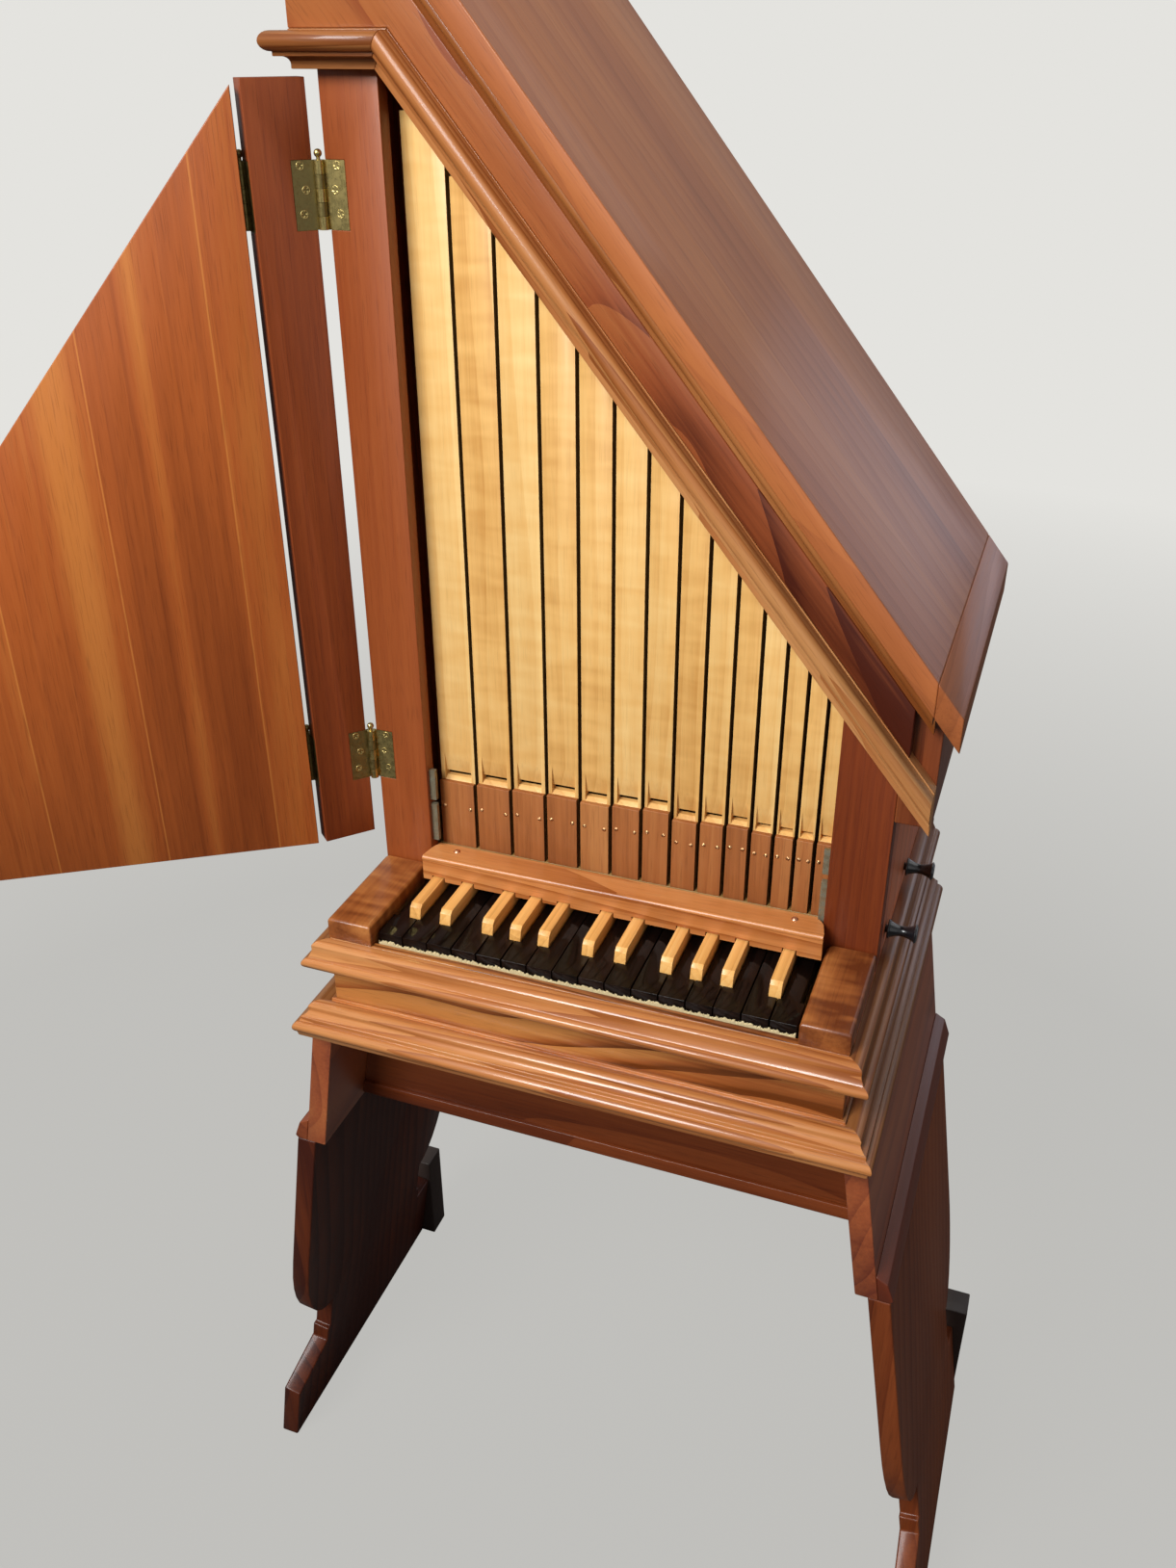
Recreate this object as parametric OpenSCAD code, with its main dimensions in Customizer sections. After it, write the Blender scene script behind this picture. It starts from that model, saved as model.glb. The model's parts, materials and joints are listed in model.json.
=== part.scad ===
// Small practice pipe organ with stopped wooden pipes in a lean-to case on a splayed stand.
// The origin is on the floor under the middle of the whole with its door open, +X to the player's
// right, +Y to the back. The modules are drawn about the centre of the case, and placed() moves them.

/* [Case] */
// Depth of the case from the front of the posts to the back
case_d = 296; // [260:4:340]
// Depth of the keyboard table in front of the posts
table_d = 114; // [105:1:130]
// Thickness of the side walls and the back
wall_t = 18; // [14:1:22]
// Width of each corner post
post_w = 48; // [40:1:60]
// Thickness of each corner post
post_t = 22; // [16:1:28]
// Width of the rebate along the posts' inner back edges
rebate_w = 14; // [8:1:20]
// Depth of that rebate
rebate_d = 8; // [4:1:10]
// Height of the left post's top, where the cornice starts
post_h = 1416; // [1300:2:1500]

/* [Roof] */
// Pitch of the lean-to roof in degrees
roof_pitch = 50.3; // [46:0.1:54]
// Thickness of the roof board
roof_t = 18; // [14:1:26]
// Plumb height from the rake, the neck moulding's lower edge, to the roof's top
roof_rise = 142; // [130:2:170]
// Overhang of the roof at the sides
roof_side = 45; // [38:1:60]
// Overhang of the roof at the front
roof_front = 50; // [45:1:60]
// Length, down the slope, of the end batten at the eave
batten_l = 33; // [25:1:45]
// Length of the level front piece of the neck moulding
rake_start = 53; // [48:1:60]
// Projection of the frieze in front of the posts
frieze_out = 13; // [10:1:18]
// Overhang of the frieze past the right side wall
frieze_end = 7; // [4:1:10]
// Outward step of the right upper side below the eave
right_step = 29; // [24:1:34]
// Width of the neck moulding's face, square to its run
neck_w = 25; // [20:1:32]
// Projection of the neck moulding in front of the posts
neck_out = 29; // [24:1:36]
// Width of the crown moulding's face, square to its run
crown_w = 21; // [18:1:26]

/* [Keyboard] */
// Height of the natural keys above the floor
key_z = 745; // [700:1:780]
// Centre distance of two naturals
key_pitch = 23.5; // [22:0.1:24]
// Thickness of the key bed and the table's floor
bed_t = 12; // [9:1:15]
// Gap between neighbouring keys
key_gap = 1.2; // [0.8:0.1:1.6]
// Length of a natural in front of the sharps
head_l = 30; // [26:1:36]
// Length of a key from its front to its tail
key_l = 158; // [150:1:165]
// Thickness of a key
key_t = 16; // [12:1:18]
// Height of a sharp over the naturals
sharp_h = 12; // [9:0.5:14]
// Width of a sharp
sharp_w = 10.4; // [9:0.1:11]
// Length of a sharp
sharp_l = 70; // [60:1:80]
// Diameter of the rod that the keys turn on
rod_d = 4; // [3:0.5:5]
// Width of each cheek block beside the keys
cheek_w = 42; // [36:1:46]
// Gap between the outer keys and the cheek blocks
cheek_gap = 2.5; // [1.5:0.5:4]
// Height of the cheek blocks over their seat
cheek_h = 21; // [16:1:26]
// Bevel of the cheek blocks' edges
cheek_ease = 2; // [1:0.5:3]
// Height of the name rail's top over the naturals
rail_top = 30; // [24:1:34]
// Bevel of the name rail's front edges
rail_ease = 2.5; // [1:0.5:4]
// Width of the name rail, front to back
rail_w = 23; // [18:1:26]
// Projection of the name rail in front of the posts
rail_out = 8; // [6:1:10]

/* [Table] */
// Depth of the cheek seat below the natural keys
seat_drop = 10; // [8:1:14]
// Height of the table from its seat to its underside
table_h = 97; // [90:1:110]
// Thickness of the table's front board
fascia_t = 18; // [14:1:22]
// Projection of the upper table moulding
upper_out = 20; // [16:1:26]
// Height of the upper table moulding
upper_h = 29; // [24:1:34]
// Projection of the lower table moulding
lower_out = 31; // [26:1:36]
// Height of the lower table moulding
lower_h = 31; // [26:1:36]
// Set back of the side mouldings' ends from the back of the case
mould_end = 10; // [4:1:30]
// Set back of the apron behind the table front
apron_in = 72; // [60:1:90]
// Height of the apron
apron_h = 136; // [110:1:150]
// Thickness of the apron and the bottom board
apron_t = 15; // [12:1:18]

/* [Stand] */
// Splay of the stand in degrees from upright
splay = 9; // [6:0.5:12]
// Thickness of the skirt and stand panels
panel_t = 20; // [16:1:24]
// Height of the skirt panels below the table
skirt_h = 156; // [140:2:180]
// Height of the strip along the foot of each skirt
strip_h = 28; // [22:1:34]
// Projection of that strip
strip_out = 13; // [9:1:16]
// Depth of the skirt panels, front to back
skirt_d = 378; // [340:2:390]
// Outward step of the stand panels from the skirts
stand_step = 11; // [8:1:14]
// Depth of the stand panels, front to back
stand_d = 348; // [320:2:370]
// Height of the straight part of a stand panel's edge above the floor
stand_edge_z = 290; // [270:2:310]
// Height of the neck above the foot
foot_neck_z = 168; // [160:2:180]
// Inset of the neck from the edge of the panel
foot_neck_in = 62; // [50:1:70]
// Height of the foot's step
foot_step_z = 119; // [110:1:125]
// Height of the foot's toe at the step
foot_toe_z = 100; // [90:1:105]
// Width of a heel block
heel_w = 36; // [30:1:44]
// Depth of a heel block
heel_d = 32; // [24:1:40]
// Height of a heel block
heel_h = 127; // [110:1:140]

/* [Pipes] */
// Number of pipes in the front rank
front_pipes = 14; // [10:1:14]
// Number of pipes in the rear rank
rear_pipes = 13; // [10:1:13]
// Width of the largest front pipe
pipe_w_max = 34; // [30:0.5:34]
// Width of the smallest front pipe
pipe_w_min = 12.4; // [10:0.1:12.4]
// Depth of the front pipes
pipe_d = 46; // [36:1:52]
// Height of the top of the largest pipe's cap above the floor
cap_top_z = 836; // [830:1:850]
// Thickness of the pipe caps in front of the pipes
cap_t = 5; // [4:0.5:7]
// Drop of the rear pipes' tops below the rake
rear_drop = 60; // [40:5:90]
// Height of the mouths with their lower lips
mouth_h = 8; // [6:0.5:10]
// Depth of the mouths
mouth_d = 30; // [20:1:36]
// Length of the bevel of the upper lips
lip_l = 20; // [14:1:26]
// Depth of the bevel of the upper lips at the mouth
lip_d = 3.5; // [2:0.5:5]
// Height of the pipe toes above the natural keys
chest_drop = 24; // [22:1:28]

/* [Door] */
// Thickness of the door leaves
leaf_t = 17; // [14:1:20]
// Width of the narrow leaf
narrow_w = 47; // [45:1:56]
// Gap between the leaves
door_gap = 2; // [1.5:0.5:3]
// Gap between the narrow leaf's top and the neck moulding
door_head = 5; // [5:0.5:8]
// Square gap between the wide leaf's slope and the raking moulding
slope_gap = 9; // [6:0.5:10]
// Gap between the closed door and the posts
door_clear = 5; // [4:0.5:6]
// Height of the door's lower edge above the natural keys
door_lift = 38; // [36:1:44]
// Angle of the narrow leaf in the rest pose, from closed
narrow_open = 132; // [110:1:140]
// Angle of the wide leaf from the narrow leaf in the rest pose
wide_open = 15; // [0:1:40]
// Distance of the post hinges' pins from the case's side
pin_out = 4; // [4:0.5:6]
// Diameter of the hinge barrels
barrel_d = 7; // [5:0.5:9]
// Diameter of the hinge pins
pin_d = 3; // [2:0.5:4]
// Diameter of the ball on top of each hinge pin
ball_d = 6; // [4:0.5:7]
// Length of the neck below that ball
ball_neck = 1.5; // [0.5:0.5:3]
// Distance of the hinges' middles from the door's lower edge and the post's top
hinge_in = 82; // [60:1:100]
// Length of a hinge barrel
barrel_l = 48; // [40:2:56]
// Width of a hinge leaf
hinge_w = 16; // [12:1:20]
// Thickness of a hinge leaf
hinge_t = 1.6; // [1:0.2:2]

/* [Stop knobs] */
// Length of a stop knob
knob_l = 27; // [22:1:34]
// Diameter of a stop knob
knob_d = 17; // [12:1:22]
// Depth of a stop knob's waist
waist = 3; // [1:0.5:3.5]
// Gap between a pushed stop knob and the wall
knob_gap = 2; // [1:0.5:3]
// Diameter of a stop knob's rod
stem_d = 7; // [5:1:9]

/* [Hidden] */
$fn = 48;
eps = 0.01;
fit = 0.05;
clear = 0.3;
mitre_gap = 0.1;
seam = 0.05;
naturals = 16;
case_w = naturals * key_pitch + 2 * (cheek_gap + cheek_w);
half = case_w / 2;
far = 3 * case_w;
y_front = -(case_d + table_d) / 2;
y_post = y_front + table_d;
y_back = y_front + table_d + case_d;
y_wall = y_post + post_t;
post_in = half - post_w;
seat_z = key_z - seat_drop;
table_z = seat_z - table_h;
slope = tan(roof_pitch);
roof_drop = roof_t / cos(roof_pitch);
y_roof = y_post - roof_front;
eave_x = half + roof_side;
// The rake is the raking lower edge of the neck moulding
rake_x = -half + rake_start;
function rake(x) = post_h - slope * (x - rake_x);
function roof_top(x) = rake(x) + roof_rise;
function roof_under(x) = roof_top(x) - roof_drop;
// Seat of the pieces under the roof
function roof_seat(x) = roof_under(x) - seam;
mitre = roof_pitch / 2;
neck_drop = neck_w / cos(roof_pitch);
crown_drop = crown_w / cos(roof_pitch);
right_x = half + right_step;

// A board of a given outline in the X-Z plane, from y0 back over a depth
module board_xz(points, y0, depth) {
    translate([0, y0 + depth, 0]) rotate([90, 0, 0]) linear_extrude(depth) polygon(points);
}
// A board of a given outline in the Y-Z plane, from x0 over a thickness
module board_yz(points, x0, thickness) {
    translate([x0, 0, 0]) rotate([90, 0, 90]) linear_extrude(thickness) polygon(points);
}
module mirrored_pair() {
    children();
    mirror([1, 0, 0]) children();
}
// Points of an arc, for outlines
function arc(cx, cy, r, a0, a1, n = 8) = [for (i = [0:n]) let (a = a0 + (a1 - a0) * i / n)
    [cx + r * cos(a), cy + r * sin(a)]];

// Case
module side_wall(top, stop_x) {
    board_yz([[y_front, table_z], [y_back, table_z], [y_back, top], [y_wall, top],
              [y_wall, seat_z], [y_front, seat_z]], stop_x, wall_t);
}
module side_walls() {
    color("#9c4a22") difference() {
        union() {
            side_wall(roof_top(-half), -half);
            side_wall(roof_top(half - wall_t), half - wall_t);
        }
        above_roof_seat();
        table_front_cut();
        // Narrow slot over the front stop knob
        translate([half - wall_t - 1, knob_ys[0], key_z + door_lift]) cube([wall_t + 2, 2.5, 40]);
        for (y = knob_ys) translate([half - wall_t - 1, y, knob_z]) rotate([0, 90, 0])
            cylinder(d = stem_d + 2 * clear, h = wall_t + 2);
    }
}
// Room for the front board between the side walls
module table_front_cut() {
    translate([-half - 1, y_front - 1, table_z - 1]) cube([case_w + 2, fascia_t + 1, table_h + 1]);
}
// Everything above the seat of the roof
module above_roof_seat() {
    board_xz([[-far, roof_seat(-far)], [far, roof_seat(far)], [far, roof_seat(-far)]], y_roof - far, 2 * far);
}
module back_panel() {
    in = half - wall_t;
    color("#a5592c") board_xz([[-in, table_z], [in, table_z], [in, roof_seat(in)],
        [-in, roof_seat(-in)]], y_back - wall_t, wall_t);
}
// A rebate along each post's inner back edge leaves a dark gap beside the pipes
module corner_posts() {
    color("#a8492a") difference() {
        union() {
            board_xz([[-half, seat_z], [-post_in, seat_z], [-post_in, post_h], [-half, post_h]],
                     y_post, post_t);
            board_xz([[post_in, seat_z], [half, seat_z], [half, rake(half)], [post_in, rake(post_in)]],
                     y_post, post_t);
        }
        for (z = hinge_zs) post_hinge_plate(z, y_post);
        for (x = [-post_in - rebate_w, post_in - 1])
            translate([x, y_wall - rebate_d, seat_z - 1]) cube([rebate_w + 1, rebate_d + 1, post_h]);
    }
}
module upper_sides() {
    color("#b0562e") {
        left = -half - frieze_out;
        board_xz([[left, post_h + neck_w], [-half, post_h + neck_w], [-half, roof_seat(-half)],
                  [left, roof_seat(left)]], y_post, y_back - y_post);
        low = rake(right_x);
        board_xz([[half, low], [right_x, low], [right_x, roof_seat(right_x)],
                  [half, roof_seat(half)]], y_post, y_back - y_post);
    }
}
module frieze_board() {
    left = -half - frieze_out;
    end = half + frieze_end;
    drop = crown_drop + seam;
    color("#a34d22") board_xz(
        [[left, post_h + neck_w], [rake_x + neck_w * tan(mitre) + seam, post_h + neck_w],
         [end, rake(end) + neck_drop + seam], [end, roof_seat(end) - drop],
         [left, roof_seat(left) - drop]],
        y_post - frieze_out, frieze_out);
}
// Profile of the neck moulding: out is away from the post, up is towards the roof
module neck_profile() {
    polygon(concat([[0, 0], [frieze_out, 0], [frieze_out, 3]],
        arc(frieze_out + 5, 3, 5, 180, 90, 5),
        [[neck_out - 7, 8], [neck_out - 7, 11]],
        arc(neck_out - 6.5, 17.5, 6.5, -90, 90, 10),
        [[frieze_out, neck_w - 1], [frieze_out, neck_w], [0, neck_w]]));
}
// The three strips are drawn long, and each is cut short of its mitres by half a joint
module neck_moulding() {
    run = far;
    reach = far / 10;
    fold = reach * tan(mitre);
    edge_x = rake_x - mitre_gap;
    color("#b35a24") {
        // Left return
        intersection() {
            translate([-half, y_back, post_h]) rotate([90, 0, 0]) mirror([1, 0, 0])
                linear_extrude(y_back - y_post + neck_out + 1) neck_profile();
            left_mitre([[0, 0], [-run, -run], [-run, run], [0, run]], -mitre_gap);
        }
        // Level front strip, up to the rake
        intersection() {
            translate([-half - neck_out - 1, y_post, post_h]) rotate([90, 0, 90])
                mirror([1, 0, 0]) linear_extrude(neck_out + reach) neck_profile();
            left_mitre([[0, 0], [-run, -run], [run, -run], [run, 0]], mitre_gap);
            board_xz([[-half - reach, post_h - reach], [edge_x - fold, post_h - reach],
                      [edge_x + fold, post_h + reach], [-half - reach, post_h + reach]],
                     y_post - reach, reach);
        }
        // Raking strip
        intersection() {
            translate([rake_x, y_post, post_h]) rotate([0, roof_pitch, 0]) translate([-reach, 0, 0])
                rotate([90, 0, 90]) mirror([1, 0, 0]) linear_extrude(run) neck_profile();
            translate([mitre_gap, 0, 0]) board_xz([[rake_x - fold, post_h - reach],
                [rake_x + fold, post_h + reach], [right_x - mitre_gap, post_h + reach],
                [right_x - mitre_gap, 0]], y_post - reach, reach);
        }
    }
}
// Cuts along the plan's mitre at the left front corner
module left_mitre(outline, shift) {
    translate([-half + shift, y_post, 0]) linear_extrude(2 * far) polygon(outline);
}
module crown_moulding() {
    out = roof_front - 8;
    bead = 4;
    cove = crown_w - 2 * bead - 2;
    color("#b8621f") raking_run(crown_drop) polygon(concat([[0, 0], [frieze_out, 0], [frieze_out, 2]],
        arc(frieze_out + cove, 2, cove, 180, 90, 8),
        arc(out - bead, crown_w - bead, bead, -90, 90, 8), [[0, crown_w]]));
}
// Runs a profile along under the roof's front edge, cut plumb at both ends
module raking_run(drop) {
    x0 = -half - frieze_out;
    intersection() {
        translate([x0, y_post, roof_seat(x0) - drop]) rotate([0, roof_pitch, 0])
            translate([-far, 0, 0]) rotate([90, 0, 90]) mirror([1, 0, 0])
                linear_extrude(2 * far) children();
        translate([x0 - roof_side / 2, y_post - far, 0]) cube([eave_x - x0, far, 2 * far]);
    }
}
module roof_board() {
    x1 = eave_x - batten_l * cos(roof_pitch);
    color("#a8663c") board_xz([[-eave_x, roof_under(-eave_x)], [x1, roof_under(x1)],
        [x1, roof_top(x1)], [-eave_x, roof_top(-eave_x)]], y_roof, y_back - y_roof);
}
module roof_end_batten() {
    x1 = eave_x - batten_l * cos(roof_pitch);
    color("#9a5a34") board_xz([[x1, roof_under(x1)], [eave_x, roof_under(eave_x)],
        [eave_x, roof_top(eave_x)], [x1, roof_top(x1)]], y_roof, y_back - y_roof);
}

// Pipes
pipe_y = y_post + 18 + cap_t;
pipe_x0 = -(post_in - 3.5);
pipe_x1 = post_in - 2;
function pipe_w(i) = pipe_w_max - (pipe_w_max - pipe_w_min) * pow(i / (front_pipes - 1), 0.95);
function widths_before(i) = i == 0 ? 0 : widths_before(i - 1) + pipe_w(i - 1);
pipe_space = (pipe_x1 - pipe_x0 - widths_before(front_pipes)) / (front_pipes - 1);
function pipe_x(i) = pipe_x0 + widths_before(i) + i * pipe_space;
toe_z = key_z + chest_drop;
// The caps step up a little in groups of four, three, three and four
function cap_z(i) = cap_top_z + (i < 4 ? 1.5 * i : i < 7 ? 3.5 + 2.2 * (i - 4)
    : i < 10 ? 2.5 + 2 * (i - 7) : 4.4 + 0.4 * (i - 10));
function pipe_top(i) = min(rake(pipe_x(i) + pipe_w(i)) + 12, post_h - 12);
module front_pipe_bodies() {
    color("#dcb878") for (i = [0:front_pipes - 1]) {
        w = pipe_w(i);
        x = pipe_x(i);
        z = cap_z(i);
        m = min(mouth_h, 0.36 * w);
        low = z + 0.4 * m;
        difference() {
            translate([x, pipe_y, toe_z]) cube([w, pipe_d, pipe_top(i) - toe_z]);
            // From the cap up: the slope of the lower lip, the mouth, and the bevel of the upper lip
            board_yz([[pipe_y - 1, z], [pipe_y, z], [pipe_y + lip_d, low], [pipe_y + mouth_d, low],
                      [pipe_y + mouth_d, z + m], [pipe_y + lip_d, z + m], [pipe_y, z + m + lip_l],
                      [pipe_y - 1, z + m + lip_l]], x + w * 0.12, w * 0.76);
        }
    }
}
module front_pipe_caps() {
    color("#9a5b34") for (i = [0:front_pipes - 1])
        translate([pipe_x(i), pipe_y - cap_t, toe_z]) cube([pipe_w(i), cap_t, cap_z(i) - toe_z]);
}
rear_y = pipe_y + pipe_d + 16;
module rear_pipes() {
    color("#cba76a") for (i = [0:rear_pipes - 1]) {
        w = pipe_w(i);
        translate([pipe_x(i), rear_y, toe_z])
            cube([w, 1.4 * pipe_d, rake(pipe_x(i) + w) - rear_drop - toe_z]);
    }
}
toe_board_t = 10;
module pipe_chest() {
    in = half - wall_t;
    y0 = key_back + 6;
    color("#b98a58") difference() {
        union() {
            translate([-in, y_wall, toe_z - toe_board_t])
                cube([2 * in, y_back - wall_t - y_wall, toe_board_t]);
            translate([-post_in + clear, pipe_y - cap_t, toe_z - toe_board_t])
                cube([2 * (post_in - clear), y_wall - pipe_y + cap_t, toe_board_t]);
            translate([-in, y0, table_z + bed_t])
                cube([2 * in, y_back - wall_t - y0, toe_z - toe_board_t - table_z - bed_t]);
        }
        translate([in - stem_in, knob_ys[1], knob_z]) rotate([0, 90, 0])
            cylinder(d = stem_d + 2 * clear, h = stem_in + 1);
    }
}

// Keyboard
sharps = [for (i = [1:naturals - 1]) if (i % 7 != 3 && i % 7 != 0) i];
key_y = y_front + 10;
key_back = key_y + key_l;
key_dip_room = 11;
rod_y = key_back - 10;
rod_z = key_z - key_t / 2;
key_x0 = -naturals * key_pitch / 2;
// The sharps stand off the joints: C# and F# to the left, D# and A# to the right
function sharp_off(i) = let (n = i % 7) n == 1 || n == 4 ? -3 : n == 2 || n == 6 ? 3 : 0;
function sharp_x(i) = key_x0 + i * key_pitch + sharp_off(i);
function is_sharp(i) = i > 0 && i < naturals && i % 7 != 3 && i % 7 != 0;
module rod_bore(x, w) {
    translate([x - 1, rod_y, rod_z]) rotate([0, 90, 0]) cylinder(d = rod_d + 2 * fit, h = w + 2);
}
module key_natural(n) {
    x0 = key_x0 + (n - 1) * key_pitch + key_gap / 2;
    x1 = key_x0 + n * key_pitch - key_gap / 2;
    side = post_in - key_gap;
    t0 = is_sharp(n - 1) ? sharp_x(n - 1) + sharp_w / 2 + key_gap : max(x0, -side);
    t1 = is_sharp(n) ? sharp_x(n) - sharp_w / 2 - key_gap : min(x1, side);
    color("#1c1815") difference() {
        translate([0, 0, key_z - key_t]) linear_extrude(key_t) polygon(
            [[x0, key_y], [x1, key_y], [x1, key_y + head_l], [t1, key_y + head_l], [t1, key_back],
             [t0, key_back], [t0, key_y + head_l], [x0, key_y + head_l]]);
        rod_bore(t0, t1 - t0);
    }
}
module key_sharp(n) {
    x = sharp_x(sharps[n - 1]) - sharp_w / 2;
    y = key_y + head_l + key_gap;
    color("#d9a65e") difference() {
        board_yz([[y, key_z - key_t], [y, key_z], [y + 2.5, key_z + sharp_h - 3],
                  [y + 6, key_z + sharp_h], [y + sharp_l, key_z + sharp_h], [y + sharp_l, key_z],
                  [key_back, key_z], [key_back, key_z - key_t]], x, sharp_w);
        rod_bore(x, sharp_w);
    }
}
module key_rod() {
    in = half - wall_t;
    color("#b9b4a6") translate([-in, rod_y, rod_z]) rotate([0, 90, 0]) cylinder(d = rod_d, h = 2 * in);
}
module key_bed() {
    in = half - wall_t;
    top = key_z - key_t - key_dip_room - 5;
    y0 = y_front + fascia_t;
    color("#b98a58") {
        translate([-in, y0, top - bed_t]) cube([2 * in, key_back + 6 - y0, bed_t]);
        translate([-in, y0, table_z]) cube([2 * in, y_back - wall_t - y0, bed_t]);
        translate([-in, y0, table_z]) cube([2 * in, bed_t, top - table_z]);
    }
}
// The top's front and outer edges are bevelled, and the back corners in plan are cut off
module key_cheeks() {
    x0 = half - cheek_w;
    z1 = seat_z + cheek_h;
    e = cheek_ease;
    color("#a3603a") mirrored_pair() intersection() {
        translate([0, 0, seat_z]) linear_extrude(cheek_h) polygon([[x0, y_front], [half, y_front],
            [half, y_post - 2 * e], [half - 2 * e, y_post], [x0 + 3 * e, y_post], [x0, y_post - 3 * e]]);
        board_yz([[y_front, seat_z], [y_post, seat_z], [y_post, z1 - e], [y_post - e, z1],
                  [y_front + e, z1], [y_front, z1 - e]], x0, cheek_w);
        board_xz([[x0, seat_z], [half, seat_z], [half, z1 - e], [half - e, z1], [x0 + e, z1],
                  [x0, z1 - e]], y_front, table_d);
    }
}
module name_rail() {
    w = half - cheek_w;
    y0 = y_post - rail_out;
    y1 = y0 + rail_w;
    z0 = key_z + sharp_h + 2;
    z1 = key_z + rail_top;
    end = post_in - clear;
    color("#a56238") intersection() {
        linear_extrude(far) polygon([[-w, y0 + rail_ease], [-w + rail_ease, y0], [w - rail_ease, y0],
            [w, y0 + rail_ease], [w, y_post - rail_out / 2], [end, y_post - clear], [end, y1],
            [-end, y1], [-end, y_post - clear], [-w, y_post - rail_out / 2]]);
        board_yz([[y0, z0], [y1, z0], [y1, z1], [y0 + rail_ease, z1], [y0, z1 - rail_ease]], -w, 2 * w);
    }
}

// Table
// The board's top is rebated so that the naturals' fronts can dip behind it
module table_fascia() {
    w = half - cheek_w;
    z = key_z - key_t - key_dip_room;
    color("#b8692f") difference() {
        translate([-half, y_front, table_z]) cube([case_w, fascia_t, table_h]);
        translate([-w, key_y - 2, z]) cube([2 * w, fascia_t, seat_z - z + 1]);
    }
}
// A moulding that wraps the front and both sides of the table, mitred at the corners
module wrap_moulding(top, reach) {
    back = y_back - mould_end;
    for (s = [-1, 1]) intersection() {
        translate([s * half, back, top]) rotate([90, 0, 0]) mirror([s > 0 ? 0 : 1, 0, 0])
            linear_extrude(back - y_front + reach) children();
        translate([s * half, y_front, 0]) linear_extrude(far)
            polygon([[0, 0], [s * far, -far], [s * far, far], [0, far]]);
    }
    intersection() {
        translate([-half - reach, y_front, top]) rotate([90, 0, 90]) mirror([1, 0, 0])
            linear_extrude(case_w + 2 * reach) children();
        translate([0, y_front, 0]) linear_extrude(far)
            polygon([[-half, 0], [-half - far, -far], [half + far, -far], [half, 0]]);
    }
}
module upper_profile() {
    h = upper_h;
    polygon(concat([[0, 0]], arc(6, -7, 7, 90, 30, 5), [[12, -9]],
        arc(upper_out - 5, -h + 9, 5, 90, -70, 8), [[4, -h + 3], [4, -h], [0, -h]]));
}
module lower_profile() {
    h = lower_h;
    polygon(concat([[0, 0], [3, 0], [3, -3]], arc(12, -6, 8, 100, 30, 5),
        arc(lower_out - 5, -3, 8, 200, 260, 5), arc(lower_out - 6, -h + 10, 6, 90, -60, 10),
        [[lower_out - 4, -h], [0, -h]]));
}
module upper_table_moulding() {
    color("#c2733a") wrap_moulding(seat_z, upper_out) upper_profile();
}
module lower_table_moulding() {
    color("#c2733a") wrap_moulding(table_z + lower_h, lower_out) lower_profile();
}
apron_y = y_front + apron_in;
y_skirt = y_front - 7;
skirt_top_x = half + 24;
function skirt_in(z) = skirt_top_x + (table_z - z) * tan(splay) - panel_t / cos(splay);
box_z = table_z - apron_h;
module apron(y) {
    board_xz([[-skirt_in(table_z), table_z], [skirt_in(table_z), table_z], [skirt_in(box_z), box_z],
              [-skirt_in(box_z), box_z]], y, apron_t);
}
module apron_boards() {
    color("#7d3f1c") {
        apron(apron_y);
        apron(y_skirt + skirt_d - apron_t - 4);
    }
}
module bottom_board() {
    low = box_z - apron_t;
    color("#8a4a24") board_xz([[-skirt_in(box_z), box_z], [-skirt_in(low), low], [skirt_in(low), low],
        [skirt_in(box_z), box_z]], apron_y - 3, y_skirt + skirt_d - apron_y);
}

// Stand
skirt_low = table_z - skirt_h;
function skirt_out(z) = skirt_in(z) + panel_t / cos(splay);
module skirt_panels() {
    color("#a34a22") mirrored_pair() board_xz([[skirt_in(table_z), table_z], [skirt_out(table_z), table_z],
        [skirt_out(skirt_low), skirt_low], [skirt_in(skirt_low), skirt_low]], y_skirt, skirt_d);
}
// A strip along the foot of each skirt, with a bevelled top
module skirt_mouldings() {
    z1 = skirt_low + strip_h;
    bevel = strip_out / 2;
    color("#9c4a24") mirrored_pair() translate([seam, 0, 0])
        board_xz([[skirt_out(z1), z1], [skirt_out(z1 - bevel) + strip_out - bevel / 2, z1 - bevel],
            [skirt_out(skirt_low) + strip_out, skirt_low + bevel / 2],
            [skirt_out(skirt_low) + strip_out - bevel / 2, skirt_low], [skirt_out(skirt_low), skirt_low]],
            y_skirt, skirt_d);
}
// The panel lies flat first, with its outer face down, and is then turned to its splay
stand_l = skirt_low / cos(splay);
module stand_outline() {
    d = stand_d / 2;
    neck = d - foot_neck_in;
    polygon(concat([[-d, stand_l + 20], [-d, stand_edge_z / cos(splay)]],
        [for (i = [1:8]) let (a = 90 * i / 8) [-d + foot_neck_in * (1 - cos(a)),
            stand_edge_z - (stand_edge_z - foot_neck_z) * sin(a)]],
        [[-neck, foot_step_z], [-neck - 6, foot_step_z], [-neck - 6, foot_toe_z], [-d - 6, foot_toe_z - 22],
         [-d - 6, -20], [heel_y, -20], [heel_y, foot_toe_z], [neck + 6, foot_toe_z],
         [neck + 6, foot_step_z], [neck, foot_step_z]],
        [for (i = [8:-1:1]) let (a = 90 * i / 8) [d - foot_neck_in * (1 - cos(a)),
            stand_edge_z - (stand_edge_z - foot_neck_z) * sin(a)]],
        [[d, stand_edge_z], [d, stand_l + 20]]));
}
stand_y = y_skirt + stand_d / 2;
heel_y = stand_d / 2 - 24;
stand_in = skirt_in(skirt_low) + stand_step;
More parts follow.
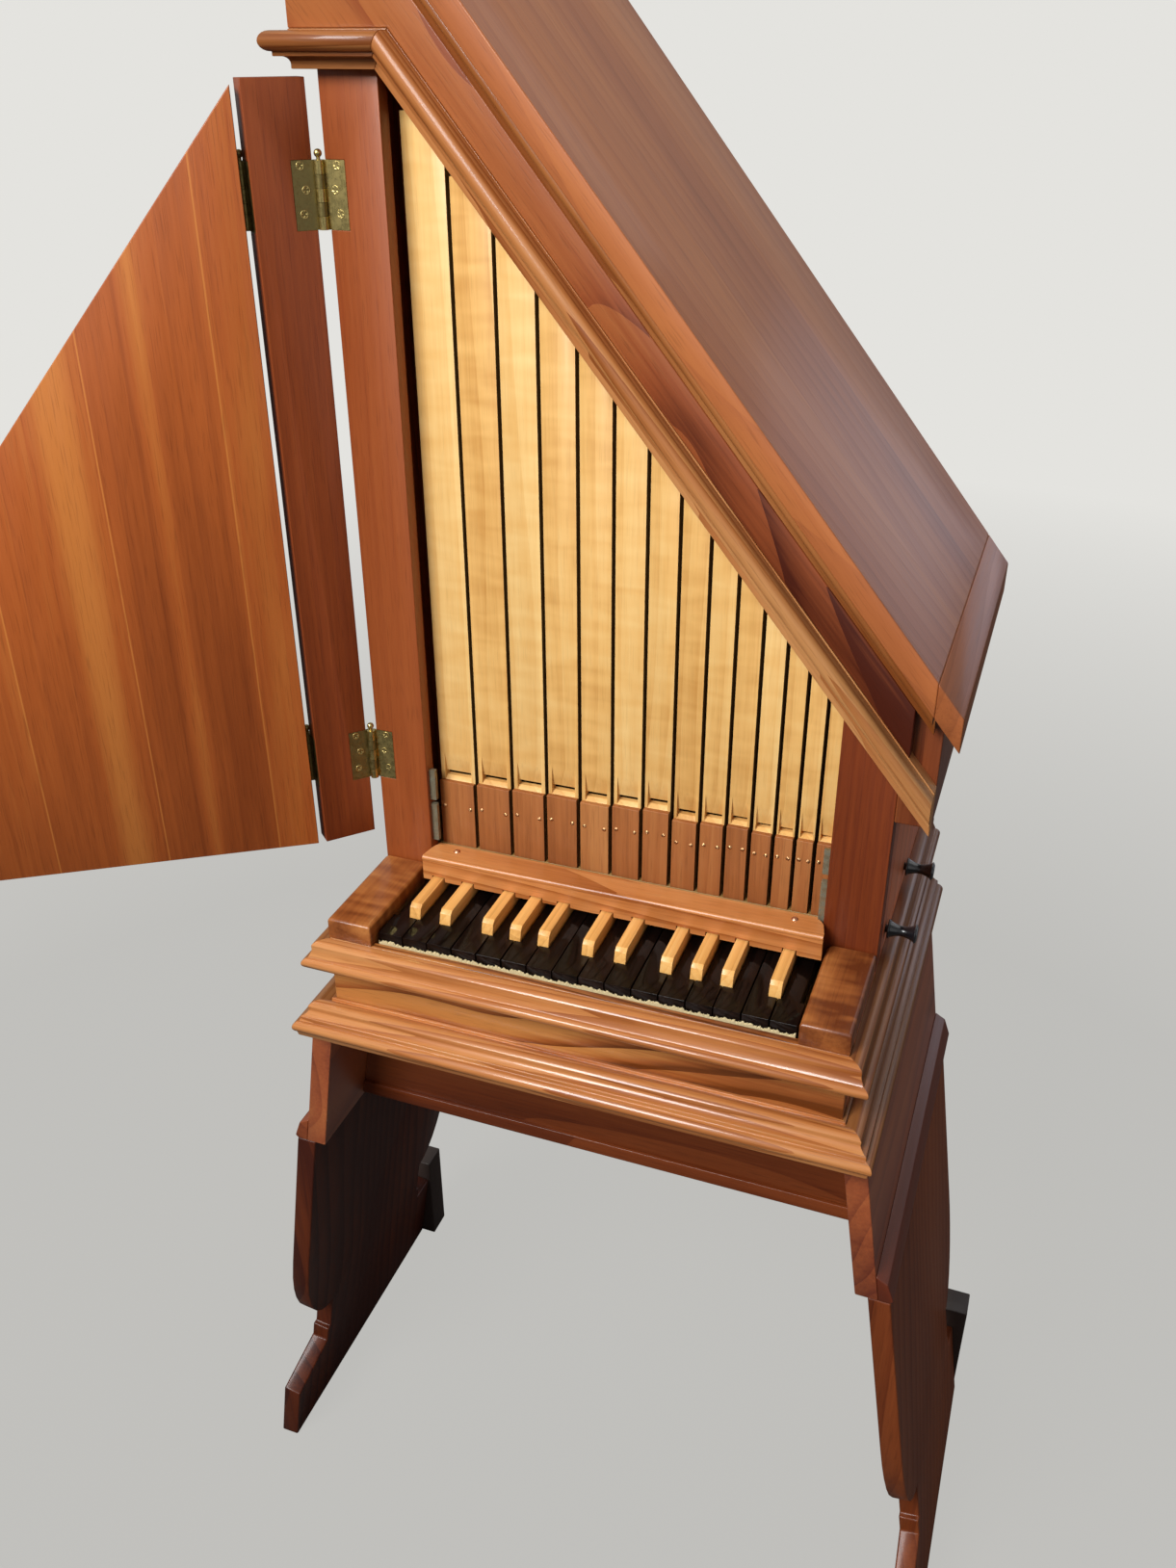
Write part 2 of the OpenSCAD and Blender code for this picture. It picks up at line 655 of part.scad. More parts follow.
module stand_panels() {
    color("#a04c26") mirrored_pair() intersection() {
        translate([stand_in + skirt_low * tan(splay), stand_y, 0]) rotate([0, -splay, 0])
            rotate([90, 0, 90]) linear_extrude(panel_t) stand_outline();
        translate([0, -far, 0]) cube([far, 2 * far, skirt_low]);
    }
}
module heel_blocks() {
    x = stand_in + (skirt_low - heel_h / 2) * tan(splay) + panel_t / 2;
    color("#3a2a22") mirrored_pair()
        translate([x - heel_w / 2, stand_y + heel_y, 0]) cube([heel_w, heel_d, heel_h]);
}

// Stop knobs
knob_z = key_z + 9;
knob_ys = [y_post + 42, y_post + 148];
stem_in = 30;
module stop_knob(y) {
    r = knob_d / 2;
    end = knob_l - knob_gap;
    color("#14161c") translate([half, y, knob_z]) rotate([0, 90, 0]) {
        translate([0, 0, 1 - wall_t - stem_in]) cylinder(d = stem_d, h = wall_t + stem_in + 2);
        translate([0, 0, knob_gap]) rotate_extrude() polygon(concat([[0, 0], [r, 0], [r, 2]],
            [for (i = [0:10]) [r - 1 - waist * sin(18 * i), 2 + i / 10 * (end - 4)]],
            [[r, end - 2], [r, end - 1], [r - 1, end], [0, end]]));
    }
}
module stop_knob_front() { stop_knob(knob_ys[0]); }
module stop_knob_rear() { stop_knob(knob_ys[1]); }

// Door, drawn closed and then turned into its rest pose
door_z0 = key_z + door_lift;
leaf_y = y_post - door_clear - leaf_t;
axis_x = -half - pin_out;
axis_y = y_post - door_clear / 2;
narrow_x = -half;
fold_x = narrow_x + narrow_w + door_gap / 2;
fold_y = leaf_y - barrel_d / 2 - 0.5;
module narrow_pose() {
    translate([axis_x, axis_y, 0]) rotate([0, 0, -narrow_open]) translate([-axis_x, -axis_y, 0]) children();
}
module wide_pose() {
    narrow_pose() translate([fold_x, fold_y, 0]) rotate([0, 0, -wide_open])
        translate([-fold_x, -fold_y, 0]) children();
}
hinge_zs = [door_z0 + hinge_in - 1, post_h - hinge_in - 1];
module door_leaf_narrow() {
    color("#a8482a") narrow_pose() difference() {
        board_xz([[narrow_x, door_z0], [narrow_x + narrow_w, door_z0],
                  [narrow_x + narrow_w, post_h - door_head], [narrow_x, post_h - door_head]],
                 leaf_y, leaf_t);
        for (z = hinge_zs) {
            post_hinge_plate(z, y_post - door_clear - hinge_t);
            fold_hinge_plate(z, fold_x - door_gap / 2 - hinge_t);
        }
    }
}
module door_leaf_wide() {
    x0 = narrow_x + narrow_w + door_gap;
    x1 = half - 3;
    drop = slope_gap / cos(roof_pitch);
    color("#a54a28") wide_pose() difference() {
        board_xz([[x0, door_z0], [x1, door_z0], [x1, rake(x1) - drop], [x0, rake(x0) - drop]],
                 leaf_y, leaf_t);
        for (z = hinge_zs) fold_hinge_plate(z, fold_x + door_gap / 2);
    }
}
// Flat plates of the two kinds of hinge, also used to cut their mortises
module post_hinge_plate(z, y) {
    translate([axis_x, y, z - barrel_l / 2]) cube([-half - axis_x + hinge_w, hinge_t, barrel_l]);
}
module fold_hinge_plate(z, x) {
    translate([x, fold_y, z - barrel_l / 2]) cube([hinge_t, leaf_y + leaf_t - 3 - fold_y, barrel_l]);
}
// Knuckles alternate along the barrel: the outer three carry the pin, the inner two turn on it
knuckle_l = barrel_l / 5;
module knuckle_room(x, y, z, which) {
    for (k = [which:2:4]) translate([x, y, z - barrel_l / 2 + k * knuckle_l - clear])
        cylinder(d = barrel_d + 1, h = knuckle_l + 2 * clear);
}
module knuckle_barrels(x, y, z, which) {
    for (k = [which:2:4]) translate([x, y, z - barrel_l / 2 + k * knuckle_l + clear / 2])
        cylinder(d = barrel_d, h = knuckle_l - clear);
}
module pin_half(x, y, z) {
    difference() {
        children();
        knuckle_room(x, y, z, 1);
    }
    knuckle_barrels(x, y, z, 0);
    translate([x, y, z - barrel_l / 2]) cylinder(d = pin_d, h = barrel_l + ball_d);
    translate([x, y, z + barrel_l / 2 + ball_d / 2 + ball_neck]) sphere(d = ball_d);
}
module bore_half(x, y, z) {
    difference() {
        union() {
            difference() {
                children();
                knuckle_room(x, y, z, 0);
            }
            knuckle_barrels(x, y, z, 1);
        }
        translate([x, y, z - barrel_l]) cylinder(d = pin_d + 2 * fit, h = 2 * barrel_l);
    }
}
module hinge_post_side() {
    color("#c9b071") for (z = hinge_zs)
        pin_half(axis_x, axis_y, z) post_hinge_plate(z, y_post);
}
module hinge_narrow_leaf() {
    color("#c9b071") narrow_pose() for (z = hinge_zs) {
        bore_half(axis_x, axis_y, z) post_hinge_plate(z, y_post - door_clear - hinge_t);
        pin_half(fold_x, fold_y, z) fold_hinge_plate(z, fold_x - door_gap / 2 - hinge_t);
    }
}
module hinge_wide_leaf() {
    color("#c9b071") wide_pose() for (z = hinge_zs)
        bore_half(fold_x, fold_y, z) fold_hinge_plate(z, fold_x + door_gap / 2);
}

// Placing: the middle between the open door's tip and the far foot, and the back
function turned(p, c, a) = [c[0] + (p[0] - c[0]) * cos(a) - (p[1] - c[1]) * sin(a),
    c[1] + (p[0] - c[0]) * sin(a) + (p[1] - c[1]) * cos(a)];
function door_tip(y) = turned(turned([half - 3, y], [fold_x, fold_y], -wide_open),
    [axis_x, axis_y], -narrow_open);
foot_x = stand_in + skirt_low * tan(splay) + panel_t / cos(splay);
mid_x = round((door_tip(leaf_y)[0] + foot_x) / 2);
mid_y = round((door_tip(leaf_y + leaf_t)[1] + y_back) / 2);
module placed() {
    translate([-mid_x, -mid_y, 0]) children();
}

placed() side_walls();
placed() back_panel();
placed() corner_posts();
placed() upper_sides();
placed() frieze_board();
placed() neck_moulding();
placed() crown_moulding();
placed() roof_board();
placed() roof_end_batten();
placed() front_pipe_bodies();
placed() front_pipe_caps();
placed() rear_pipes();
placed() pipe_chest();
placed() key_cheeks();
placed() name_rail();
placed() key_bed();
placed() key_rod();
placed() table_fascia();
placed() upper_table_moulding();
placed() lower_table_moulding();
placed() apron_boards();
placed() bottom_board();
placed() skirt_panels();
placed() skirt_mouldings();
placed() stand_panels();
placed() heel_blocks();
placed() stop_knob_front();
placed() stop_knob_rear();
placed() door_leaf_narrow();
placed() door_leaf_wide();
placed() hinge_post_side();
placed() hinge_narrow_leaf();
placed() hinge_wide_leaf();
for (i = [1:naturals]) placed() key_natural(i);
for (i = [1:len(sharps)]) placed() key_sharp(i);
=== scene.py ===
"""Dresses the practice pipe organ: eased edges, grained woods, brass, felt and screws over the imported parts."""

import json
import math

import bpy
import bmesh
import numpy as np
from bpy.props import FloatProperty, FloatVectorProperty, IntProperty, PointerProperty
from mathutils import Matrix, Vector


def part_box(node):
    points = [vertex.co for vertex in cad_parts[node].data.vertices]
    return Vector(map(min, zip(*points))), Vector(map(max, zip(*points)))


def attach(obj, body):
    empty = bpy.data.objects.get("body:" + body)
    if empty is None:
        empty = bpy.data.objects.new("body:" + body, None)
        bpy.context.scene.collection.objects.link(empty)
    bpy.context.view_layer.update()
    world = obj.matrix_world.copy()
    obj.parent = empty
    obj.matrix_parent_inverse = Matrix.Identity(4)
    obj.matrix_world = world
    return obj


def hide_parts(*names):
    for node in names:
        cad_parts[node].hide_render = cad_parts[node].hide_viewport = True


bl_info = {
    "name": "Practice Pipe Organ",
    "version": (1, 0, 0),
    "blender": (4, 5, 0),
    "location": "3D View > Sidebar > Organ",
    "description": "Finishes for a small practice pipe organ in cherry and maple",
    "category": "Add Mesh",
}

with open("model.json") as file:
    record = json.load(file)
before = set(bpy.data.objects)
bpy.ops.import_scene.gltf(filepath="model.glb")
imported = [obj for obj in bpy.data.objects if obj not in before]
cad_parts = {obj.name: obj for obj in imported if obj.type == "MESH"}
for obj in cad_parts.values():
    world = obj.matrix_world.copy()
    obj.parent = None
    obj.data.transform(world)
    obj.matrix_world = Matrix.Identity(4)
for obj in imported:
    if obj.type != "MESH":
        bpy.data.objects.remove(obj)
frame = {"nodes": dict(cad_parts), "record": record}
JOINTS = {j["name"]: j for j in frame["record"]["behaviour"]["joints"]}
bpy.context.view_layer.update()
NATURALS, SHARPS = 16, 11
# Eased edges: faces within the first angle of one plane are joined, and edges sharper than the second are rounded
SAME_PLANE, SHARP_EDGE = math.radians(0.4), math.radians(32)


def tone(code):
    """Linear colour of a paint chip written as six hex digits."""
    parts = [int(code[i : i + 2], 16) / 255 for i in (0, 2, 4)]
    return tuple(c / 12.92 if c <= 0.04045 else ((c + 0.055) / 1.055) ** 2.4 for c in parts)


def colour(code, name, text):
    """Setting for a colour."""
    return FloatVectorProperty(name=name, description=text, subtype="COLOR", size=3, min=0, max=1,
                               default=tone(code))


def length(default, name, text):
    """Setting for a length in metres."""
    return FloatProperty(name=name, description=text, default=default, subtype="DISTANCE", unit="LENGTH")


# Settings

# Dark, middle and pale tone of each wood, and what it is the wood of
TONES = {
    "case": ("6e2c12", "9c4e26", "b96c39", "the cherry case"),
    # The frieze's dark tone is deep so that the painted falloff of the light darkens its lower right end to near
    # black
    "frieze": ("4e1a07", "944a24", "b26836", "the frieze"),
    "post": ("622611", "883f1a", "9e5226", "the corner posts"),
    "door": ("7c3813", "a95623", "bf7233", "the door"),
    "trim": ("95501f", "c07a42", "d4955a", "the table and mouldings"),
    "roof": ("834624", "ac6234", "c87c42", "the roof"),
    "stand": ("3e160a", "682e12", "84421e", "the stand"),
    "pipe": ("ca9048", "e8b66c", "f5cf8a", "the maple pipes"),
    "cap": ("7c4623", "a66536", "ba7e48", "the pipe caps"),
    "cheek": ("6a3313", "985729", "b8753c", "the cheek blocks"),
    "fascia": ("6f3812", "a85e2c", "d08b49", "the table's front board"),
    "sharp": ("cc904a", "f1b465", "fdce84", "the sharps"),
    "ebony": ("0a0605", "1a0f0a", "33201a", "the naturals"),
}
ROLES = {"dark": "Grain lines", "mid": "Body tone", "pale": "Pale streaks"}


class OrganWood(bpy.types.PropertyGroup):
    """Colours of the woods, each as a dark, a middle and a pale tone."""

    __annotations__ = {f"{name}_{kind}": colour(code, f"{name.title()} {kind}", f"{ROLES[kind]} of {thing}")
                       for name, (*codes, thing) in TONES.items() for kind, code in zip(ROLES, codes)}


class OrganFittings(bpy.types.PropertyGroup):
    """Colours and sizes of the brass, felt, screws and knobs."""

    brass: colour("cdb978", "Brass", "Bright brass of the hinges")
    brass_old: colour("5e4a22", "Old brass", "Tarnish in the hinges' corners")
    steel: colour("a5a29b", "Steel", "Screw heads and key rod")
    cap_brass: colour("c09468", "Cap screw brass", "Small screws of the pipe caps")
    copper: colour("e0a684", "Rail screw copper", "Round screws of the name rail")
    clip: colour("a59f86", "Clip", "Metal of the clips on the posts")
    felt: colour("e0cfa0", "Felt", "Felt strip below the naturals' fronts")
    knob: colour("101116", "Knob", "Black of the stop knobs")
    disc: colour("8f9298", "Disc", "End discs of the stop knobs")
    heel: colour("2a1d17", "Heel", "Dark paint of the heel blocks")
    ease: length(0.0012, "Ease", "Rounding of the case's edges")
    fine_ease: length(0.0005, "Fine ease", "Rounding of the pipes' and keys' edges")
    cap_screw: length(0.0038, "Cap screw", "Diameter of the screws in the pipe caps")
    rail_screw: length(0.0064, "Rail screw", "Diameter of the screws in the name rail")
    hinge_screw: length(0.0062, "Hinge screw", "Diameter of the screws in the hinges")
    felt_hair: length(0.0016, "Felt hair", "Height of the felt's ragged edge")
    rounding: IntProperty(name="Rounding steps", description="Segments of each eased edge", default=2, min=1, max=4)


class OrganStudio(bpy.types.PropertyGroup):
    """The plain studio: floor, lamps and camera."""

    floor: colour("504e4b", "Floor", "Studio floor under the lamps")
    backdrop: colour("e4e3df", "Backdrop", "Pale surround behind the floor")
    ambient: FloatProperty(name="Ambient", description="Strength of the surround's own light", default=0.2)
    mirrored: FloatProperty(name="Mirrored", description="Share of the surround seen in gloss", default=0.3)
    key: FloatProperty(name="Key", description="Power of the large lamp at the front left", default=105, unit="POWER")
    fill: FloatProperty(name="Fill", description="Power of the lamp at the front right", default=5, unit="POWER")
    top: FloatProperty(name="Top", description="Power of the lamp over the roof", default=14, unit="POWER")
    sheen: FloatProperty(name="Sheen", description="Power of the lamp mirrored in the roof", default=3, unit="POWER")
    lens: FloatProperty(name="Lens", description="Focal length on a 36 mm wide frame", default=41.296, unit="CAMERA")


def settings(group):
    """The scene's values of one group of settings."""
    return getattr(bpy.context.scene, "organ_" + group)


# Shapes


def joined(node):
    """Points and triangles of a node's mesh as arrays, its doubled points merged by place."""
    mesh = frame["nodes"][node].data
    mesh.calc_loop_triangles()
    points = np.zeros(len(mesh.vertices) * 3)
    mesh.vertices.foreach_get("co", points)
    tris = np.zeros(len(mesh.loop_triangles) * 3, int)
    mesh.loop_triangles.foreach_get("vertices", tris)
    _, first, where = np.unique(np.round(points.reshape(-1, 3), 6), axis=0, return_index=True, return_inverse=True)
    return points.reshape(-1, 3)[first], where.reshape(-1)[tris].reshape(-1, 3)


def island_labels(count, edges):
    """One label for each joined set of points: the lowest index spreads over the edges until nothing changes."""
    labels = np.arange(count)
    while True:
        low = np.minimum(labels[edges[:, 0]], labels[edges[:, 1]])
        new = labels.copy()
        np.minimum.at(new, edges[:, 0], low)
        np.minimum.at(new, edges[:, 1], low)
        new = new[new]
        if (new == labels).all():
            return np.unique(labels, return_inverse=True)[1].reshape(-1)
        labels = new


def solids(node):
    """Lowest and highest corners of each solid of a node, ordered from left to right."""
    points, tris = joined(node)
    labels = island_labels(len(points), np.concatenate([tris[:, :2], tris[:, 1:]]))
    boxes = [(points[labels == k].min(0), points[labels == k].max(0)) for k in range(labels.max() + 1)]
    return sorted(boxes, key=lambda b: b[0][0])


def tag_boards(mesh, key):
    """Writes a number between 0 and 1 for each board to the faces: the fraction of key * golden step + start."""
    golden, start = 0.618034, 0.21
    data = mesh.attributes.new("board", "FLOAT", "FACE")
    data.data.foreach_set("value", np.modf(np.asarray(key, float) * golden + start)[0].astype(np.float32))


def face_centres(mesh):
    """The middle of each face, as rows of X, Y and Z."""
    centres = np.zeros(len(mesh.polygons) * 3)
    mesh.polygons.foreach_get("center", centres)
    return centres.reshape(-1, 3)


def on_sides(centres, boxes):
    """Whether each face lies on the left or the right side of one of the boxes."""
    ends = np.array([corner[0] for box in boxes for corner in box])
    return (np.abs(centres[:, :1] - ends) < 0.0003).any(axis=1)


def eased(node, materials, width, body="case", runs=None, cuts=(), boards=None):
    """Stands for a node with a copy whose coplanar faces are joined and whose sharp edges are rounded.

    runs gives each face's material from the face centres, cuts are planes along which boards meet, and
    boards gives each face's board number from the centres, or else each solid is one board."""
    bm = bmesh.new()
    bm.from_mesh(frame["nodes"][node].data)
    bmesh.ops.remove_doubles(bm, verts=bm.verts, dist=2e-6)
    bmesh.ops.dissolve_limit(bm, angle_limit=SAME_PLANE, verts=bm.verts, edges=bm.edges)
    for place, normal in cuts:
        bmesh.ops.bisect_plane(bm, geom=bm.verts[:] + bm.edges[:] + bm.faces[:], dist=1e-6,
                               plane_co=place, plane_no=normal)
    mesh = bpy.data.meshes.new(node + "_eased")
    bm.to_mesh(mesh)
    bm.free()
    centres = face_centres(mesh)
    if boards is None:
        edges = np.zeros(len(mesh.edges) * 2, int)
        mesh.edges.foreach_get("vertices", edges)
        labels = island_labels(len(mesh.vertices), edges.reshape(-1, 2))
        starts = np.zeros(len(mesh.polygons), int)
        mesh.polygons.foreach_get("loop_start", starts)
        corner = np.zeros(len(mesh.loops), int)
        mesh.loops.foreach_get("vertex_index", corner)
        tag_boards(mesh, labels[corner[starts]] + len(node))
    else:
        tag_boards(mesh, boards(centres))
    for material in materials:
        mesh.materials.append(material)
    if runs is not None:
        mesh.polygons.foreach_set("material_index", runs(centres).astype(np.int32))
    mesh.shade_smooth()
    made = bpy.data.objects.new(node + "_finish", mesh)
    bpy.context.collection.objects.link(made)
    ease = made.modifiers.new("Eased edges", "BEVEL")
    ease.width = width
    ease.segments = settings("fittings").rounding
    ease.limit_method = "ANGLE"
    ease.angle_limit = SHARP_EDGE
    ease.harden_normals = True
    ease.use_clamp_overlap = True
    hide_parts(node)
    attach(made, body)


def grid(rows, columns, wrap_rows=False, wrap_columns=False, first=0):
    """Quads between neighbouring points of a grid stored row by row."""
    i = np.arange(rows if wrap_rows else rows - 1)[:, None]
    j = np.arange(columns if wrap_columns else columns - 1)[None, :]
    i2, j2 = (i + 1) % rows, (j + 1) % columns
    quad = np.stack([i * columns + j, i * columns + j2, i2 * columns + j2, i2 * columns + j], axis=-1)
    return (quad.reshape(-1, 4) + first).tolist()


def revolved(profile, around):
    """Points at radius r and height z, turned about Z: x = r cos t, y = r sin t. Row by row up the profile."""
    turn = np.linspace(0, 2 * math.pi, around, endpoint=False)
    r, z = np.asarray(profile, float).T
    return np.stack([np.outer(r, np.cos(turn)), np.outer(r, np.sin(turn)),
                     np.repeat(z[:, None], around, axis=1)], axis=-1)


def repeated(points, faces, matrices):
    """Copies of one shape: each point is multiplied by each matrix, and the faces count on."""
    points = np.asarray(points, float).reshape(-1, 3)
    flat = np.concatenate([points, np.ones((len(points), 1))], axis=1)
    moved = np.einsum("kij,nj->kni", np.asarray(matrices, float), flat)[..., :3].reshape(-1, 3)
    return moved, [[v + k * len(points) for v in face] for k in range(len(matrices)) for face in faces]


def facing(place, direction, spin=0.0, size=1.0):
    """Matrix that puts a shape at a place with its +Z along a direction, turned by spin about it."""
    d = np.asarray(direction, float) / np.linalg.norm(direction)
    side = np.cross([0.0, 0.0, 1.0] if abs(d[2]) < 0.9 else [0.0, 1.0, 0.0], d)
    side /= np.linalg.norm(side)
    up = np.cross(d, side)
    c, s = math.cos(spin), math.sin(spin)
    m = np.eye(4)
    m[:3, 0], m[:3, 1], m[:3, 2] = size * (c * side + s * up), size * (c * up - s * side), size * d
    m[:3, 3] = place
    return m


def swung(joint, degrees):
    """Matrix of a turn by so many degrees about a door hinge's upright line."""
    x, y, _ = JOINTS[joint]["pos_m"]
    a = math.radians(degrees)
    c, s = math.cos(a), math.sin(a)
    return np.array([[c, -s, 0, x - c * x + s * y], [s, c, 0, y - s * x - c * y], [0, 0, 1, 0], [0, 0, 0, 1.0]])


def piece(name, body, points, faces, material, smooth=True):
    """Adds a mesh of points and faces that rides a body, without doubled points."""
    mesh = bpy.data.meshes.new(name)
    mesh.from_pydata(np.asarray(points, float).reshape(-1, 3).tolist(), [], faces)
    bm = bmesh.new()
    bm.from_mesh(mesh)
    bmesh.ops.remove_doubles(bm, verts=bm.verts, dist=1e-6)
    bm.to_mesh(mesh)
    bm.free()
    mesh.validate()
    if smooth:
        mesh.shade_smooth()
    mesh.materials.append(material)
    made = bpy.data.objects.new(name, mesh)
    bpy.context.collection.objects.link(made)
    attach(made, body)
    return made


def screw_head(dome, slot_width=0.16, slot_depth=0.12, cross=False):
    """A round head of diameter 1: height = dome * (1 - (2r)^2), and the slot lowers it where |x| is small.

    A cross has two shorter slots, the second where |y| is small."""
    around, reach, short = 24, 0.45, 0.32
    r = np.array([0.0, 0.07, 0.1, 0.2, 0.3, 0.4, 0.46, 0.5])
    z = np.maximum(dome * (1 - (2 * r) ** 2), 0.02)
    head = revolved(np.column_stack([r, z]), around)
    inside = (np.abs(head[..., 0]) < slot_width / 2) & (r[:, None] < (short if cross else reach))
    if cross:
        inside |= (np.abs(head[..., 1]) < slot_width / 2) & (r[:, None] < short)
    head[..., 2] -= np.where(inside, slot_depth, 0)
    wall = revolved([[0.5, -0.25], [0.0, -0.25]], around)
    points = np.concatenate([head, wall])[::-1]
    return points.reshape(-1, 3), grid(len(points), around, wrap_columns=True)


# Materials


class Link:
    """A shader socket that adds Math nodes where it is used in an expression."""

    def __init__(self, net, socket):
        self.net, self.socket = net, socket

    def math(self, operation, *others):
        """A Math node on this socket and others."""
        return self.net.node("ShaderNodeMath", {"operation": operation}, dict(enumerate((self,) + others)))

    def __add__(self, other):
        return self.math("ADD", other)

    def __sub__(self, other):
        return self.math("SUBTRACT", other)

    def __rsub__(self, other):
        return self.net.node("ShaderNodeMath", {"operation": "SUBTRACT"}, {0: other, 1: self})

    def __mul__(self, other):
        return self.math("MULTIPLY", other)

    def __truediv__(self, other):
        return self.math("DIVIDE", other)

    def __pow__(self, other):
        return self.math("POWER", other)

    __radd__ = __add__
    __rmul__ = __mul__

    def between(self, low, high):
        """0 below low, 1 above high, and straight between them."""
        ends = {"Value": self, "From Min": low, "From Max": high}
        return self.net.node("ShaderNodeMapRange", {"clamp": True}, ends)


class Net:
    """The node tree of one material, or of a world that is passed in."""

    def __init__(self, name, owner=None):
        self.material = owner or bpy.data.materials.new(name)
        self.material.use_nodes = True
        self.tree = self.material.node_tree
        self.shader = next((n for n in self.tree.nodes if n.type == "BSDF_PRINCIPLED"), None)

    def node(self, kind, setup=None, values=None, out=0):
        """Adds a node, sets it up, feeds its sockets and returns one of its outputs."""
        made = self.tree.nodes.new(kind)
        for key, value in (setup or {}).items():
            if key == "stops":
                ramp = made.color_ramp
                while len(ramp.elements) < len(value):
                    ramp.elements.new(0.5)
                for element, (at, rgb) in zip(ramp.elements, value):
                    element.position = at
                    element.color = (*rgb, 1)
            else:
                setattr(made, key, value)
        for key, value in (values or {}).items():
            self.feed(made.inputs[key], value)
        return Link(self, made.outputs[out])

    def feed(self, socket, value):
        """Links a socket to another one, or sets its plain value."""
        if isinstance(value, Link):
            self.tree.links.new(value.socket, socket)
        else:
            socket.default_value = value

    def set(self, **values):
        """Feeds sockets of the Principled shader, with _ for a space in their names."""
        for key, value in values.items():
            self.feed(self.shader.inputs[key.replace("_", " ")], value)

    def place(self, turn=(0, 0, 0)):
        """Object coordinates, turned by degrees about X, Y and Z."""
        here = self.node("ShaderNodeTexCoord", out="Object")
        return self.node("ShaderNodeMapping", None, {"Vector": here, "Rotation": tuple(map(math.radians, turn))})

    def split(self, vector):
        """The X, Y and Z of a vector."""
        apart = self.tree.nodes.new("ShaderNodeSeparateXYZ")
        self.feed(apart.inputs[0], vector)
        return [Link(self, end) for end in apart.outputs]

    def noise(self, vector, scale, detail=2.0, rough=0.5, distort=0.0):
        """Noise of a vector that is first multiplied by a scale for each axis."""
        stretched = self.node("ShaderNodeVectorMath", {"operation": "MULTIPLY"}, {0: vector, 1: scale})
        return self.node("ShaderNodeTexNoise", None, {"Vector": stretched, "Scale": 1.0, "Detail": detail,
                                                      "Roughness": rough, "Distortion": distort})

    def ramp(self, fac, stops):
        return self.node("ShaderNodeValToRGB", {"stops": stops}, {"Fac": fac})

    def mix(self, fac, a, b):
        return self.node("ShaderNodeMix", {"data_type": "RGBA"}, {0: fac, 6: a, 7: b}, out=2)

    def bump(self, height, distance, strength):
        self.set(Normal=self.node("ShaderNodeBump", None, {"Height": height, "Distance": distance,
                                                           "Strength": strength}))


# Slope of the roof, and the angles that close the narrow leaf and flatten the fold, in degrees
PITCH = 50.3
CLOSED, FLAT = JOINTS["door_post_hinge"]["range_deg"][1], JOINTS["door_fold_hinge"]["range_deg"][0]
# Half the width of the painted highlight, a pale line where two boards of the door meet
SEAM_HIGHLIGHT = 0.0009
# Degrees about X, Y and Z that lay the grain of each direction along Z
TURNS = {"z": (0, 0, 0), "x": (0, -90, 0), "y": (90, 0, 0), "rake": (0, -90 - PITCH, 0),
         "narrow": (0, 0, CLOSED), "wide": (0, 0, CLOSED - FLAT)}
# What most woods share, and then what each wood has of its own
PLAIN = dict(ripple=0.0, board=0.2, pores=0.22, sway=0.9, tone=0.0, fade=0.0, streaks=(), seams=(), gloss=0.3,
             smooth_coat=0.18, shade=1.0)
# The falloff values below (frieze, fascia, stand, cheek) paint the fall of the light across the case into the colour
WOODS = {
    "case": dict(rings=62, warp=2.4, ring=0.22, blot=0.62, fibre=0.3, flame=0.16, rough=0.36, coat=0.25),
    "post": dict(rings=120, warp=1.2, sway=0.3, ring=0.08, blot=0.5, fibre=0.22, flame=0.1, rough=0.38, coat=0.2),
    "door": dict(rings=60, warp=0.8, sway=0.2, ring=0.08, blot=0.5, fibre=0.2, flame=0.14, rough=0.36, coat=0.25,
                 board=0.3, tone=-0.02),
    "frieze": dict(rings=120, warp=3.2, sway=1.4, ring=0.3, blot=0.6, fibre=0.3, flame=0.2, rough=0.36, coat=0.25,
                   fade=2.0, tone=0.2, shade=0.87),
    "trim": dict(rings=80, warp=2.6, ring=0.34, blot=0.6, fibre=0.32, flame=0.24, rough=0.3, coat=0.7,
                 smooth_coat=0.12),
    "fascia": dict(rings=170, warp=3.4, sway=1.6, ring=0.8, blot=1.3, fibre=0.4, flame=0.55, rough=0.3, coat=0.5,
                   fade=0.5, shade=0.86),
    "roof": dict(rings=50, warp=2.6, ring=0.1, blot=0.8, fibre=0.14, flame=0.16, rough=0.42, coat=0.3),
    "stand": dict(rings=60, warp=2.4, ring=0.25, blot=0.6, fibre=0.3, flame=0.16, rough=0.38, coat=0.25,
                  fade=-1.0, tone=-0.26, gloss=0.2),
    "pipe": dict(rings=90, warp=1.3, ring=0.14, blot=0.5, fibre=0.22, flame=0.1, ripple=0.3, rough=0.4, coat=0.15,
                 board=0.35, pores=0.1),
    "cap": dict(rings=130, warp=1.0, ring=0.1, blot=0.6, fibre=0.26, flame=0.24, rough=0.45, coat=0.1, board=0.3),
    "cheek": dict(rings=60, warp=2.0, ring=0.1, blot=0.9, fibre=0.3, flame=0.4, ripple=0.9, rough=0.32, coat=0.4,
                  fade=0.65, tone=0.02),
    "sharp": dict(rings=160, warp=0.8, ring=0.2, blot=0.5, fibre=0.4, flame=0.2, rough=0.32, coat=0.25, board=0.3,
                  pores=0.1),
    "ebony": dict(rings=110, warp=1.0, ring=0.2, blot=0.4, fibre=0.5, flame=0.2, rough=0.45, coat=0.28, board=0.3,
                  gloss=0.06, smooth_coat=0.07, shade=0.4),
}


